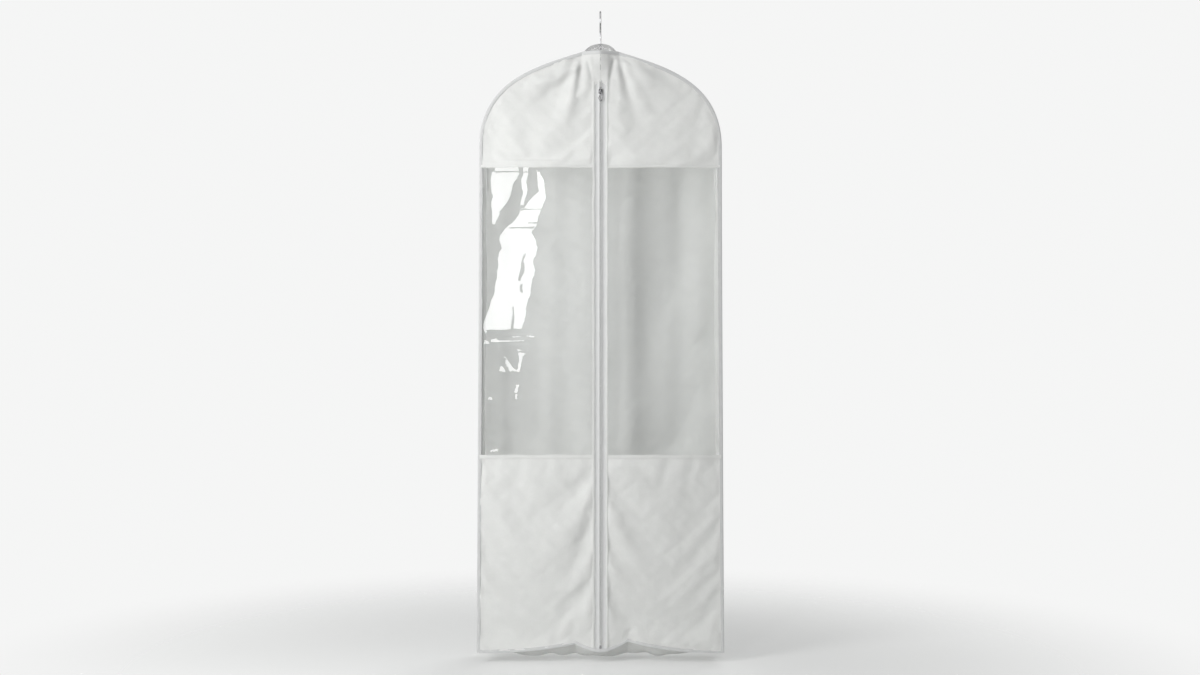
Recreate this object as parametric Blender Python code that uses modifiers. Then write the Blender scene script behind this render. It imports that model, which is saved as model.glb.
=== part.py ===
"""Long hanging garment bag on its hanger.

The bag is a gusseted cover: a fabric yoke over a clear window over a fabric
lower panel on each half of its zipped front, a plain fabric back, a gusset all
round, and a clear cap over the neck that the hanger's hook comes out of.

Metres, +Z up. The origin is where the hook sits on its rail, and the zipped
front faces -Y. Heights named UP_... are measured from the bottom hem.
"""

import math

import bmesh
import bpy
import numpy as np

# Driving dimensions of the bag
WIDTH = 0.600
DEPTH = 0.100
HOOK_UP = 1.592
NECK_UP = 1.487
NECK_HALF = 0.043
SIDE_TOP_UP = 1.250
SHOULDER_SLOPE = math.radians(18)
SHOULDER_REACH = 0.110
SIDE_REACH = 0.170
YOKE_SEAM_UP = 1.203
WINDOW_HEM_UP = 0.485
ZIP_TOP_UP = 1.410

# Sheet goods
GAP = 0.0004
CUT_PAST = 0.003
PANEL = 0.0010
GUSSET = 0.0008
BINDING_WIDTH = 0.0085
BINDING_THICK = 0.0022
HINGE_GAP = 0.0012
SEAM_TAPE = 0.006
HEM_TAPE = 0.009
BOTTOM_SAG = 0.027

# Neck cap
CAP_HALF = 0.0433
CAP_BASE_UP = 1.479
CAP_RISE = 0.035
CAP_WALL = 0.0005
CAP_HOLE = 0.0045

# Stays in the shoulder seams
STAY_RADIUS = 0.00125
STAY_INSET = 0.012
STAY_DEPTH = 0.0046
STAY_END_UP = 1.150

# Zip
TAPE_HALF = 0.016
TAPE_THICK = 0.0008
COIL_INNER = 0.00015
COIL_OUTER = 0.0029
COIL_THICK = 0.0024
SLIDER_UP = 1.388
SLIDER_HEIGHT = 0.014
SLIDER_HALF = 0.0054
SLIDER_WALL = 0.0010
SLIDER_HALF_THICK = 0.0032
SLIDER_LIP = 0.0014
POST_HALF = 0.0013
POST_HEIGHT = 0.005
BRIDGE_HALF = 0.0012
BRIDGE_SPAN = 0.0050
BRIDGE_RISE = 0.0036
BRIDGE_WALL = 0.0013
PULL_AXIS_OUT = 0.0044
PULL_THICK = 0.0014
PULL_LENGTH = 0.0250
PULL_HALF = 0.0036
PULL_LOOP_HALF = 0.0048
PULL_RIM = 0.0020
PULL_ARMS = 0.0075
PULL_WIDENS = 0.012
PULL_CLEARANCE = 0.0008
STOP_HEIGHT = 0.004
STOP_GAP = 0.001
BOTTOM_STOP_UP = 0.011
BOTTOM_STOP_HEIGHT = 0.008

# Hanger and its swivel hook
HANGER_SPAN = 0.430
HANGER_THICK = 0.012
HANGER_BEVEL = 0.0025
ARM_SLOPE = math.radians(27)
ARM_HEIGHT = 0.024
BOSS_UP = 1.494
BOSS_HALF = 0.009
ARM_START_X = 0.045
ARM_START_UP = 1.4757
BOSS_FOOT_UP = 1.450
BOSS_FOOT_HALF = 0.016
ARM_FOOT_RUN = 0.020
BOSS_EASE = 0.006
ARM_EASE = 0.014
UNDERSIDE_EASE = 0.030
WIRE_RADIUS = 0.002
HOOK_RADIUS = 0.022
HOOK_TIP_ANGLE = math.radians(5)
HOOK_JOIN_ANGLE = math.radians(235)
SHANK_TOP_UP = 1.526
SHANK_EASE = 0.013
CIRCLE_EASE = 0.012
BORE_CLEARANCE = 0.0003
HEAD_RADIUS = 0.004
HEAD_HEIGHT = 0.002
HEAD_UP = 1.4726
WASHER_RADIUS = 0.005
WASHER_UP = 1.4749
WASHER_THICK = 0.0008
HEAD_WINDOW_HALF = 0.007
HEAD_WINDOW_LOW_UP = 1.462
HEAD_WINDOW_TOP_UP = 1.476

FRONT_Y = -DEPTH / 2
BACK_Y = DEPTH / 2
PANEL_INSET = BINDING_WIDTH + HINGE_GAP
INNER_HALF_DEPTH = DEPTH / 2 - BINDING_THICK / 2 - 1.5 * GAP
SIDES = {"left": -1, "right": 1}


def height(up):
    """World z of a height above the bottom hem."""
    return up - HOOK_UP


def clear_scene():
    for item in list(bpy.data.objects):
        bpy.data.objects.remove(item, do_unlink=True)


def new_collection(name):
    collection = bpy.data.collections.new(name)
    bpy.context.scene.collection.children.link(collection)
    return collection


def make_material(name, colour, roughness, metallic=0.0, alpha=1.0):
    material = bpy.data.materials.new(name)
    material.use_nodes = True
    shader = material.node_tree.nodes["Principled BSDF"]
    shader.inputs["Base Color"].default_value = (*colour, 1.0)
    shader.inputs["Roughness"].default_value = roughness
    shader.inputs["Metallic"].default_value = metallic
    shader.inputs["Alpha"].default_value = alpha
    return material


def add_object(name, data, material, collection):
    item = bpy.data.objects.new(name, data)
    if material is not None:
        data.materials.append(material.copy())
        data.materials[0].name = name
    collection.objects.link(item)
    return item


# ---- Shapes ----


def bezier(start, start_handle, end_handle, end, steps):
    """Points and unit tangents of a cubic curve through two ends and two handles."""
    t = np.linspace(0.0, 1.0, steps + 1)[:, None]
    s = 1.0 - t
    start, start_handle, end_handle, end = map(np.array, (start, start_handle, end_handle, end))
    points = s**3 * start + 3 * s**2 * t * start_handle + 3 * s * t**2 * end_handle + t**3 * end
    slope = s**2 * (start_handle - start) + 2 * s * t * (end_handle - start_handle)
    slope = slope + t**2 * (end - end_handle)
    return points, slope / np.linalg.norm(slope, axis=1)[:, None]


def shoulder_line(inset, steps=28):
    """Right shoulder (x, z), neck corner to straight side, moved into the bag by inset."""
    neck = (NECK_HALF, height(NECK_UP))
    side = (WIDTH / 2, height(SIDE_TOP_UP))
    neck_handle = (
        neck[0] + SHOULDER_REACH * math.cos(SHOULDER_SLOPE),
        neck[1] - SHOULDER_REACH * math.sin(SHOULDER_SLOPE),
    )
    side_handle = (side[0], side[1] + SIDE_REACH)
    points, tangents = bezier(neck, neck_handle, side_handle, side, steps)
    inward = np.column_stack([tangents[:, 1], -tangents[:, 0]])
    return points + inset * inward


def beyond_x(line, x):
    """The part of a shoulder line that lies further out than x."""
    first = [x, np.interp(x, line[:, 0], line[:, 1])]
    return np.vstack([first, line[line[:, 0] > x]])


def below_z(line, z):
    """The part of a shoulder line that lies lower than z."""
    first = [np.interp(z, line[::-1, 1], line[::-1, 0]), z]
    return np.vstack([first, line[line[:, 1] < z]])


def above_z(line, z):
    """The part of a shoulder line that lies higher than z."""
    last = [np.interp(z, line[::-1, 1], line[::-1, 0]), z]
    return np.vstack([line[line[:, 1] > z], last])


def mirrored(outline, side):
    """An outline drawn for the right, put on the side given by its sign."""
    return np.array(outline) * [side, 1.0]


def flat_piece(name, outlines, y, thickness, material, collection):
    """A plate in the XZ plane: its outer outline, then any holes, as lists of (x, z)."""
    curve = bpy.data.curves.new(name, "CURVE")
    curve.dimensions = "2D"
    curve.fill_mode = "BOTH"
    curve.extrude = thickness / 2
    for outline in outlines:
        spline = curve.splines.new("POLY")
        spline.points.add(len(outline) - 1)
        for point, (x, z) in zip(spline.points, outline):
            point.co = (x, z, 0.0, 1.0)
        spline.use_cyclic_u = True
    item = add_object(name, curve, material, collection)
    item.rotation_euler = (math.pi / 2, 0.0, 0.0)
    item.location = (0.0, y, 0.0)
    return item


def rectangle(x_low, x_high, z_low, z_high):
    return [(x_low, z_low), (x_high, z_low), (x_high, z_high), (x_low, z_high)]


def box(name, centre, size, material, collection):
    mesh = bpy.data.meshes.new(name)
    shape = bmesh.new()
    bmesh.ops.create_cube(shape, size=1.0)
    bmesh.ops.scale(shape, vec=size, verts=shape.verts)
    shape.to_mesh(mesh)
    shape.free()
    item = add_object(name, mesh, material, collection)
    item.location = centre
    return item


def cylinder(name, radius, z_low, z_high, material, collection, segments=32):
    mesh = bpy.data.meshes.new(name)
    shape = bmesh.new()
    bmesh.ops.create_cone(
        shape, cap_ends=True, segments=segments, radius1=radius, radius2=radius, depth=z_high - z_low
    )
    shape.to_mesh(mesh)
    shape.free()
    item = add_object(name, mesh, material, collection)
    item.location = (0.0, 0.0, (z_low + z_high) / 2)
    return item


def wire(name, points, radius, material, collection, resolution=3):
    """A round wire along a list of (x, y, z) points, with closed ends."""
    curve = bpy.data.curves.new(name, "CURVE")
    curve.dimensions = "3D"
    curve.bevel_depth = radius
    curve.bevel_resolution = resolution
    curve.use_fill_caps = True
    spline = curve.splines.new("POLY")
    spline.points.add(len(points) - 1)
    for point, place in zip(spline.points, points):
        point.co = (*place, 1.0)
    return add_object(name, curve, material, collection)


def as_mesh(item):
    """Swap a curve object for a welded mesh object of the same name, place and material."""
    bpy.context.view_layer.update()
    name = item.name
    collection = item.users_collection[0]
    graph = bpy.context.evaluated_depsgraph_get()
    mesh = bpy.data.meshes.new_from_object(item.evaluated_get(graph))
    place = item.matrix_world.copy()
    bpy.data.objects.remove(item, do_unlink=True)
    shape = bmesh.new()
    shape.from_mesh(mesh)
    bmesh.ops.remove_doubles(shape, verts=shape.verts, dist=1e-6)
    shape.to_mesh(mesh)
    shape.free()
    mesh.name = name
    solid = bpy.data.objects.new(name, mesh)
    solid.matrix_world = place
    collection.objects.link(solid)
    return solid


def combine(item, tool, operation, tools):
    """Join a tool solid to an item, or cut it away, with an exact Boolean."""
    step = item.modifiers.new(tool.name, "BOOLEAN")
    step.operation = operation
    step.object = tool
    for collection in list(tool.users_collection):
        collection.objects.unlink(tool)
    tools.objects.link(tool)
    tool.hide_render = True
    tool.display_type = "WIRE"


def sheet_grid(name, columns, rows, place, thickness, material, collection):
    """A grid over u and v from -1 to 1, bent by place(u, v), then given its thickness."""
    mesh = bpy.data.meshes.new(name)
    shape = bmesh.new()
    bmesh.ops.create_grid(shape, x_segments=columns, y_segments=rows, size=1.0)
    for vertex in shape.verts:
        vertex.co = place(vertex.co.x, vertex.co.y)
    shape.to_mesh(mesh)
    shape.free()
    item = add_object(name, mesh, material, collection)
    wall = item.modifiers.new("wall", "SOLIDIFY")
    wall.thickness = thickness
    wall.offset = 0.0
    return item


# ---- The bag's fixed cloth ----


def make_back_panel(material, parts):
    right = np.vstack(
        [
            shoulder_line(PANEL_INSET),
            [WIDTH / 2 - PANEL_INSET, height(BINDING_WIDTH + GAP)],
        ]
    )
    outline = np.vstack([right, mirrored(right, -1)[::-1]])
    flat_piece("back_panel", [outline], BACK_Y, PANEL, material, parts)


def make_edge_bindings(material, parts):
    """The folded tape round the front and back panels: sides, shoulders, hem and neck."""
    outer = np.vstack([shoulder_line(0.0), [WIDTH / 2, height(0.0)]])
    inner = np.vstack([shoulder_line(BINDING_WIDTH), [WIDTH / 2 - BINDING_WIDTH, height(0.0)]])
    band = np.vstack([outer, inner[::-1]])
    hem_half = WIDTH / 2 - BINDING_WIDTH - GAP
    hem = rectangle(-hem_half, hem_half, height(0.0), height(BINDING_WIDTH))
    neck_foot = inner[0] - [GAP, 0.0]
    neck_top = outer[0] - [GAP, 0.0]
    neck = [neck_foot, neck_top, neck_top * [-1, 1], neck_foot * [-1, 1]]
    for face, y in (("front", FRONT_Y), ("back", BACK_Y)):
        for side, sign in SIDES.items():
            name = f"{face}_edge_binding_{side}"
            flat_piece(name, [mirrored(band, sign)], y, BINDING_THICK, material, parts)
        flat_piece(f"{face}_hem_binding", [hem], y, BINDING_THICK, material, parts)
        flat_piece(f"{face}_neck_binding", [neck], y, BINDING_THICK, material, parts)


def make_gussets(material, parts):
    """The strip between front and back: two shoulders, two sides and the sagging bottom."""
    outside = BINDING_WIDTH + GAP
    inside = outside + GUSSET
    start = CAP_HALF + CAP_WALL + GAP
    shoulder = np.vstack(
        [beyond_x(shoulder_line(outside), start), beyond_x(shoulder_line(inside), start)[::-1]]
    )
    rim = BINDING_WIDTH + GAP
    side_strip = rectangle(
        WIDTH / 2 - inside, WIDTH / 2 - outside, height(rim), height(SIDE_TOP_UP) - GAP
    )
    for side, sign in SIDES.items():
        depth = 2 * INNER_HALF_DEPTH
        flat_piece(f"shoulder_gusset_{side}", [mirrored(shoulder, sign)], 0.0, depth, material, parts)
        flat_piece(f"side_gusset_{side}", [mirrored(side_strip, sign)], 0.0, depth, material, parts)

    half_length = WIDTH / 2 - inside - GAP

    def sagging(u, v):
        drop = BOTTOM_SAG * (1 - u**4) * (1 - v**2)
        return (half_length * u, (INNER_HALF_DEPTH - GAP) * v, height(rim) - drop)

    sheet_grid("bottom_gusset", 24, 10, sagging, GUSSET, material, parts)


def make_neck_cap(material, parts, tools):
    """The clear dome over the neck, an arch both ways, with a hole for the hook."""

    def dome(u, v):
        across = u * math.pi / 2
        along = v * math.pi / 2
        return (
            CAP_HALF * math.sin(across),
            (INNER_HALF_DEPTH - GAP) * math.sin(along),
            height(CAP_BASE_UP) + CAP_RISE * math.cos(across) * math.cos(along),
        )

    cap = sheet_grid("neck_cap", 24, 24, dome, CAP_WALL, material, parts)
    top = height(CAP_BASE_UP) + CAP_RISE
    hole = cylinder("hook_hole_cutter", CAP_HOLE, top - CUT_PAST, top + CUT_PAST, None, tools)
    combine(cap, hole, "DIFFERENCE", tools)


def make_shoulder_stays(material, parts):
    """A springy plastic rod inside each shoulder seam, one arch from side to side."""
    right = np.vstack([shoulder_line(STAY_INSET, 20), [WIDTH / 2 - STAY_INSET, height(STAY_END_UP)]])
    arch = np.vstack([mirrored(right, -1)[::-1], right])
    for face, y in (("front", FRONT_Y + STAY_DEPTH), ("back", BACK_Y - STAY_DEPTH)):
        route = [(x, y, z) for x, z in arch]
        wire(f"shoulder_stay_{face}", route, STAY_RADIUS, material, parts, resolution=2)


# ---- The zipped front ----


def make_front_half(side, sign, materials, parts):
    """One half of the front: the closed neck part, the yoke, the window and the lower panel."""
    line = shoulder_line(PANEL_INSET)
    edge = WIDTH / 2 - PANEL_INSET
    cloth_x = TAPE_HALF + GAP
    zip_top = height(ZIP_TOP_UP)

    neck_line = above_z(line, zip_top + GAP)
    neck_part = np.vstack(
        [[GAP / 2, zip_top + GAP], [GAP / 2, neck_line[0, 1]], neck_line]
    )
    cloth = materials["nonwoven"]
    flat_piece(f"yoke_neck_{side}", [mirrored(neck_part, sign)], FRONT_Y, PANEL, cloth, parts)

    seam_top = height(YOKE_SEAM_UP) + SEAM_TAPE / 2
    seam_low = height(YOKE_SEAM_UP) - SEAM_TAPE / 2
    hem_top = height(WINDOW_HEM_UP) + HEM_TAPE / 2
    hem_low = height(WINDOW_HEM_UP) - HEM_TAPE / 2
    yoke = np.vstack(
        [
            [cloth_x, zip_top],
            below_z(line, zip_top),
            [edge, seam_top + GAP],
            [cloth_x, seam_top + GAP],
        ]
    )
    bands = {
        "window_top_seam": (seam_low, seam_top, 1.3 * PANEL, "nonwoven"),
        "window": (hem_top + GAP, seam_low - GAP, PANEL, "vinyl"),
        "window_hem": (hem_low, hem_top, 1.3 * PANEL, "nonwoven"),
        "lower_panel": (height(BINDING_WIDTH + GAP), hem_low - GAP, PANEL, "nonwoven"),
    }
    flat_piece(f"yoke_{side}", [mirrored(yoke, sign)], FRONT_Y, PANEL, cloth, parts)
    for piece, (low, high, thickness, finish) in bands.items():
        outline = mirrored(rectangle(cloth_x, edge, low, high), sign)
        flat_piece(f"{piece}_{side}", [outline], FRONT_Y, thickness, materials[finish], parts)


def make_zip_half(side, sign, materials, parts):
    """One tape with its coil and the stop at its top."""
    foot = height(BINDING_WIDTH + GAP)
    tape = rectangle(COIL_OUTER + GAP, TAPE_HALF, foot, height(ZIP_TOP_UP))
    flat_piece(
        f"zip_tape_{side}", [mirrored(tape, sign)], FRONT_Y, TAPE_THICK, materials["tape"], parts
    )
    coil_foot = height(BOTTOM_STOP_UP + BOTTOM_STOP_HEIGHT) + GAP
    coil = rectangle(COIL_INNER, COIL_OUTER, coil_foot, height(SLIDER_UP) + STOP_GAP)
    flat_piece(
        f"zip_coil_{side}", [mirrored(coil, sign)], FRONT_Y, COIL_THICK, materials["coil"], parts
    )
    stop_foot = height(SLIDER_UP) + SLIDER_HEIGHT / 2 + STOP_GAP
    stop = rectangle(COIL_INNER, COIL_OUTER, stop_foot, stop_foot + STOP_HEIGHT)
    flat_piece(
        f"zip_top_stop_{side}", [mirrored(stop, sign)], FRONT_Y, COIL_THICK, materials["metal"], parts
    )


def make_bottom_stop(material, parts):
    foot = height(BOTTOM_STOP_UP)
    outline = rectangle(-COIL_OUTER, COIL_OUTER, foot, foot + BOTTOM_STOP_HEIGHT)
    flat_piece("zip_bottom_stop", [outline], FRONT_Y, COIL_THICK, material, parts)


def make_slider(material, parts, tools):
    """Two plates with lips round the coils, a post between them, and the pull's bridge."""
    z = height(SLIDER_UP)
    front = FRONT_Y - SLIDER_HALF_THICK
    plate_size = (2 * SLIDER_HALF, SLIDER_WALL, SLIDER_HEIGHT)
    slider = box("zip_slider", (0, front + SLIDER_WALL / 2, z), plate_size, material, parts)
    back = FRONT_Y + SLIDER_HALF_THICK - SLIDER_WALL / 2
    pieces = [box("slider_back", (0, back, z), plate_size, None, tools)]

    lip_y = SLIDER_HALF_THICK - SLIDER_LIP / 2 - SLIDER_WALL / 2
    lip_size = (SLIDER_WALL, SLIDER_LIP + SLIDER_WALL, SLIDER_HEIGHT)
    for sign in (-1, 1):
        x = sign * (SLIDER_HALF - SLIDER_WALL / 2)
        for facing in (-1, 1):
            centre = (x, FRONT_Y + facing * lip_y, z)
            pieces.append(box("slider_lip", centre, lip_size, None, tools))

    post_size = (2 * POST_HALF, 2 * SLIDER_HALF_THICK - SLIDER_WALL, POST_HEIGHT)
    post_z = z + (SLIDER_HEIGHT - POST_HEIGHT) / 2
    pieces.append(box("slider_post", (0, FRONT_Y, post_z), post_size, None, tools))

    top_y = front - BRIDGE_RISE + BRIDGE_WALL / 2
    top_size = (2 * BRIDGE_HALF, BRIDGE_WALL, 2 * BRIDGE_SPAN)
    pieces.append(box("bridge_top", (0, top_y, z), top_size, None, tools))
    leg_size = (2 * BRIDGE_HALF, BRIDGE_RISE, BRIDGE_WALL)
    for facing in (-1, 1):
        leg_z = z + facing * (BRIDGE_SPAN - BRIDGE_WALL / 2)
        leg_y = front - BRIDGE_RISE / 2 + SLIDER_WALL / 4
        pieces.append(box("bridge_leg", (0, leg_y, leg_z), leg_size, None, tools))
    for piece in pieces:
        combine(slider, piece, "UNION", tools)


def pull_axis():
    """The point that the pull swings about, under the slider's bridge."""
    return (0.0, FRONT_Y - PULL_AXIS_OUT, height(SLIDER_UP))


def rounded_slot(half_width, z_low, z_high, steps=8):
    """A slot outline with a round lower end and square shoulders at its top."""
    turn = np.linspace(math.pi, 2 * math.pi, steps + 1)
    centre = z_low + half_width
    arc = np.column_stack([half_width * np.cos(turn), centre + half_width * np.sin(turn)])
    return np.vstack([[(-half_width, z_high)], arc, [(half_width, z_high)]])


def make_pull(material, parts):
    """The flat pull: a bar under the bridge, two arms past it, and a finger loop."""
    bar = PULL_THICK / 2
    turn = np.linspace(math.pi, 2 * math.pi, 13)
    centre = -PULL_LENGTH + PULL_LOOP_HALF
    end = np.column_stack([PULL_LOOP_HALF * np.cos(turn), centre + PULL_LOOP_HALF * np.sin(turn)])
    outer = np.vstack(
        [
            [(-PULL_HALF, bar), (-PULL_HALF, -PULL_WIDENS)],
            end,
            [(PULL_HALF, -PULL_WIDENS), (PULL_HALF, bar)],
        ]
    )
    arm_half = BRIDGE_HALF + PULL_CLEARANCE
    eye = [(-arm_half, -bar), (-arm_half, -PULL_ARMS), (arm_half, -PULL_ARMS), (arm_half, -bar)]
    loop_top = -PULL_ARMS - 1.5 * PULL_RIM
    loop = rounded_slot(PULL_LOOP_HALF - PULL_RIM, -PULL_LENGTH + PULL_RIM, loop_top)
    pull = flat_piece("zip_pull", [outer, eye, loop], 0.0, PULL_THICK, material, parts)
    pull.location = pull_axis()


# ---- Hanger ----


def make_hanger(material, parts, tools):
    """Two sloping arms and a raised boss, bored for the hook, with a window for its head."""
    boss_top = (BOSS_HALF, height(BOSS_UP))
    arm_start = (ARM_START_X, height(ARM_START_UP))
    run = np.array([math.cos(ARM_SLOPE), -math.sin(ARM_SLOPE)])
    down = np.array([-math.sin(ARM_SLOPE), -math.cos(ARM_SLOPE)])
    neck_curve, _ = bezier(
        boss_top,
        (boss_top[0] + WIRE_RADIUS, boss_top[1] - BOSS_EASE),
        np.array(arm_start) - ARM_EASE * run,
        arm_start,
        8,
    )
    tip_radius = ARM_HEIGHT / 2
    arm_reach = HANGER_SPAN / 2 - tip_radius * (1 - math.sin(ARM_SLOPE)) - ARM_START_X
    arm_length = arm_reach / math.cos(ARM_SLOPE)
    tip_centre = np.array(arm_start) + arm_length * run + tip_radius * down
    turn = np.linspace(0.0, math.pi, 11)[:, None]
    tip = tip_centre - tip_radius * np.cos(turn) * down + tip_radius * np.sin(turn) * run
    arm_foot = np.array(arm_start) + ARM_HEIGHT * down + ARM_FOOT_RUN * run
    foot_z = height(BOSS_FOOT_UP)
    underside, _ = bezier(
        arm_foot, arm_foot - UNDERSIDE_EASE * run, (BOSS_FOOT_HALF, foot_z), (0.0, foot_z), 8
    )
    right = np.vstack([neck_curve, tip, underside])
    outline = np.vstack([right, mirrored(right[:-1], -1)[::-1]])
    hanger = as_mesh(flat_piece("hanger_body", [outline], 0.0, HANGER_THICK, material, parts))
    rounding = hanger.modifiers.new("rounding", "BEVEL")
    rounding.width = HANGER_BEVEL
    rounding.segments = 2
    rounding.angle_limit = math.radians(50)

    bore = cylinder(
        "hook_bore_cutter",
        WIRE_RADIUS + BORE_CLEARANCE,
        height(HEAD_WINDOW_TOP_UP) - CUT_PAST,
        height(BOSS_UP) + CUT_PAST,
        None,
        tools,
    )
    window_height = HEAD_WINDOW_TOP_UP - HEAD_WINDOW_LOW_UP
    window_z = height(HEAD_WINDOW_LOW_UP) + window_height / 2
    window_size = (2 * HEAD_WINDOW_HALF, 2 * HANGER_THICK, window_height)
    window = box("head_window_cutter", (0, 0, window_z), window_size, None, tools)
    combine(hanger, window, "DIFFERENCE", tools)
    combine(hanger, bore, "DIFFERENCE", tools)


def make_washer(material, parts, tools):
    low = height(WASHER_UP)
    washer = cylinder("hook_washer", WASHER_RADIUS, low, low + WASHER_THICK, material, parts)
    bore = cylinder(
        "washer_bore_cutter", WIRE_RADIUS + BORE_CLEARANCE, low - CUT_PAST, low + CUT_PAST, None, tools
    )
    combine(washer, bore, "DIFFERENCE", tools)


def make_hook(material, parts, tools):
    """The round wire hook: a straight shank, a bend out to one side, and most of a circle."""
    foot = (0.0, height(HEAD_UP) + HEAD_HEIGHT / 2)
    shank_top = (0.0, height(SHANK_TOP_UP))
    centre_z = -WIRE_RADIUS - HOOK_RADIUS + 2 * WIRE_RADIUS
    angles = np.linspace(HOOK_JOIN_ANGLE, HOOK_TIP_ANGLE, 28)
    circle = np.column_stack([np.cos(angles), np.sin(angles)]) * HOOK_RADIUS + [0.0, centre_z]
    join_run = np.array([math.sin(HOOK_JOIN_ANGLE), -math.cos(HOOK_JOIN_ANGLE)])
    bend, _ = bezier(
        shank_top, (0.0, shank_top[1] + SHANK_EASE), circle[0] - CIRCLE_EASE * join_run, circle[0], 10
    )
    line = np.vstack([foot, bend, circle[1:]])
    hook = as_mesh(wire("hanger_hook", [(0.0, y, z) for y, z in line], WIRE_RADIUS, material, parts))
    low = height(HEAD_UP)
    head = cylinder("hook_head", HEAD_RADIUS, low, low + HEAD_HEIGHT, None, tools)
    combine(hook, head, "UNION", tools)


def shade_round_pieces(parts):
    for name in ("hanger_hook", "hanger_body", "neck_cap", "bottom_gusset", "hook_washer"):
        mesh = parts.objects[name].data
        mesh.shade_smooth()
        mesh.set_sharp_from_angle(angle=math.radians(40))


def build():
    clear_scene()
    parts = new_collection("garment_bag")
    tools = new_collection("cutters")
    materials = {
        "nonwoven": make_material("nonwoven", (0.80, 0.80, 0.79), 0.85),
        "vinyl": make_material("vinyl", (0.82, 0.83, 0.83), 0.12, alpha=0.30),
        "binding": make_material("binding", (0.78, 0.78, 0.78), 0.60),
        "tape": make_material("tape", (0.74, 0.74, 0.73), 0.80),
        "coil": make_material("coil", (0.55, 0.55, 0.55), 0.45),
        "metal": make_material("metal", (0.60, 0.60, 0.61), 0.25, metallic=1.0),
        "stay": make_material("stay", (0.70, 0.70, 0.70), 0.40),
        "hanger": make_material("hanger", (0.42, 0.42, 0.42), 0.45),
    }
    make_back_panel(materials["nonwoven"], parts)
    make_edge_bindings(materials["binding"], parts)
    make_gussets(materials["nonwoven"], parts)
    make_neck_cap(materials["vinyl"], parts, tools)
    make_shoulder_stays(materials["stay"], parts)
    for side, sign in SIDES.items():
        make_front_half(side, sign, materials, parts)
        make_zip_half(side, sign, materials, parts)
    make_bottom_stop(materials["metal"], parts)
    make_slider(materials["metal"], parts, tools)
    make_pull(materials["metal"], parts)
    make_hanger(materials["hanger"], parts, tools)
    make_washer(materials["metal"], parts, tools)
    make_hook(materials["metal"], parts, tools)
    shade_round_pieces(parts)


build()
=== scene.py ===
# %% [markdown]
# # A garment bag with clear windows, hanging from its own hook
# The bag is a flat-fronted cover for a long dress: cloth at the shoulders, a clear
# window down each side of a long zip, and cloth again at the foot. Every piece is
# worked out with numpy as a surface of two parameters, and it takes its place from
# the fixed frame, so nothing here repeats the frame's numbers.

import math

import bmesh
import bpy
import numpy as np
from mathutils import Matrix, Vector


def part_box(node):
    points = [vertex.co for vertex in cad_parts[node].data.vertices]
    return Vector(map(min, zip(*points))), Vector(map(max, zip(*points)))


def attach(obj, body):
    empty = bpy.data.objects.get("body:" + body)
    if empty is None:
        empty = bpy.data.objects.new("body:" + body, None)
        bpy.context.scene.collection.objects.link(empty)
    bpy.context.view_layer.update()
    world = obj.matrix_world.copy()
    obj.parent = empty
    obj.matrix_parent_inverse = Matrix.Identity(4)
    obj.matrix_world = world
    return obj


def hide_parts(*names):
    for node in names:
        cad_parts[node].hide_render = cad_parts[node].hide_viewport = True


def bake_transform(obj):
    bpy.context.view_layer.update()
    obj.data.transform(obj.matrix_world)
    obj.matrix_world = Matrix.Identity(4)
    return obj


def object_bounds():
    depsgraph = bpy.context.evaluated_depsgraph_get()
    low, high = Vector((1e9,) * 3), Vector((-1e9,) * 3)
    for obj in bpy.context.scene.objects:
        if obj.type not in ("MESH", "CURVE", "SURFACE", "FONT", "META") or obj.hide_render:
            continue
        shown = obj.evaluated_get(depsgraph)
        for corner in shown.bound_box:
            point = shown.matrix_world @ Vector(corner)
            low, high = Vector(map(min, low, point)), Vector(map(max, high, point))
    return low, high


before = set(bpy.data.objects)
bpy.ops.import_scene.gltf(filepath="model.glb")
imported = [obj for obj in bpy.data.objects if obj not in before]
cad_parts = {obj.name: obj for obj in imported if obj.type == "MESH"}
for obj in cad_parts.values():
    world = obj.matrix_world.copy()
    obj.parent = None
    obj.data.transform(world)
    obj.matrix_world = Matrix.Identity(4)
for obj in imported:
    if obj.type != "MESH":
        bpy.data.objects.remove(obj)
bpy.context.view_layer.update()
print("frame nodes:", len(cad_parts))


# %% [markdown]
# ## Measures
# A sewn bag is drawn from a few lines: its outer edge, its seams and its zip. Their
# places are read from the frame's nodes. Heights are then counted up from the hem,
# as a sewer would count them.

# %% Seams, edges and the zip line
def span(node):
    """Lowest and highest corner of a frame node, as two rows of numbers."""
    low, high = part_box(node)
    return np.array(low), np.array(high)


BINDING_LOW, BINDING_HIGH = span("front_edge_binding_right")
SIDE = BINDING_HIGH[0]
HEM = BINDING_LOW[2]
NECK = BINDING_HIGH[2]
FRONT = (BINDING_LOW[1] + BINDING_HIGH[1]) / 2
BACK = -FRONT
BINDING_THICK = BINDING_HIGH[1] - BINDING_LOW[1]
BINDING_WIDTH = span("front_hem_binding")[1][2] - HEM
YOKE_SEAM = sum(span("window_top_seam_right"))[2] / 2
WINDOW_HEM = sum(span("window_hem_right"))[2] / 2
ZIP_TOP = span("zip_tape_right")[1][2]
TAPE_EDGE = span("zip_tape_right")[1][0]
SLIDER = sum(span("zip_slider"))[2] / 2
NECK_HALF = span("front_neck_binding")[1][0]
SIDES = {"left": -1, "right": 1}


def up(rise):
    """World height of a rise above the hem."""
    return HEM + rise


print("hem", round(HEM, 4), "neck", round(NECK, 4), "half width", round(SIDE, 4))


# %% Smooth steps and ripples
def ease(t):
    """0 below 0, 1 above 1, and an even S between them."""
    t = np.clip(t, 0.0, 1.0)
    return t * t * (3.0 - 2.0 * t)


def rounded(wave, power):
    """A sine or cosine raised to a power with its sign kept. Two of them draw a rounded
    rectangle, squarer as the power falls."""
    return np.sign(wave) * np.abs(wave) ** power


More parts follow.
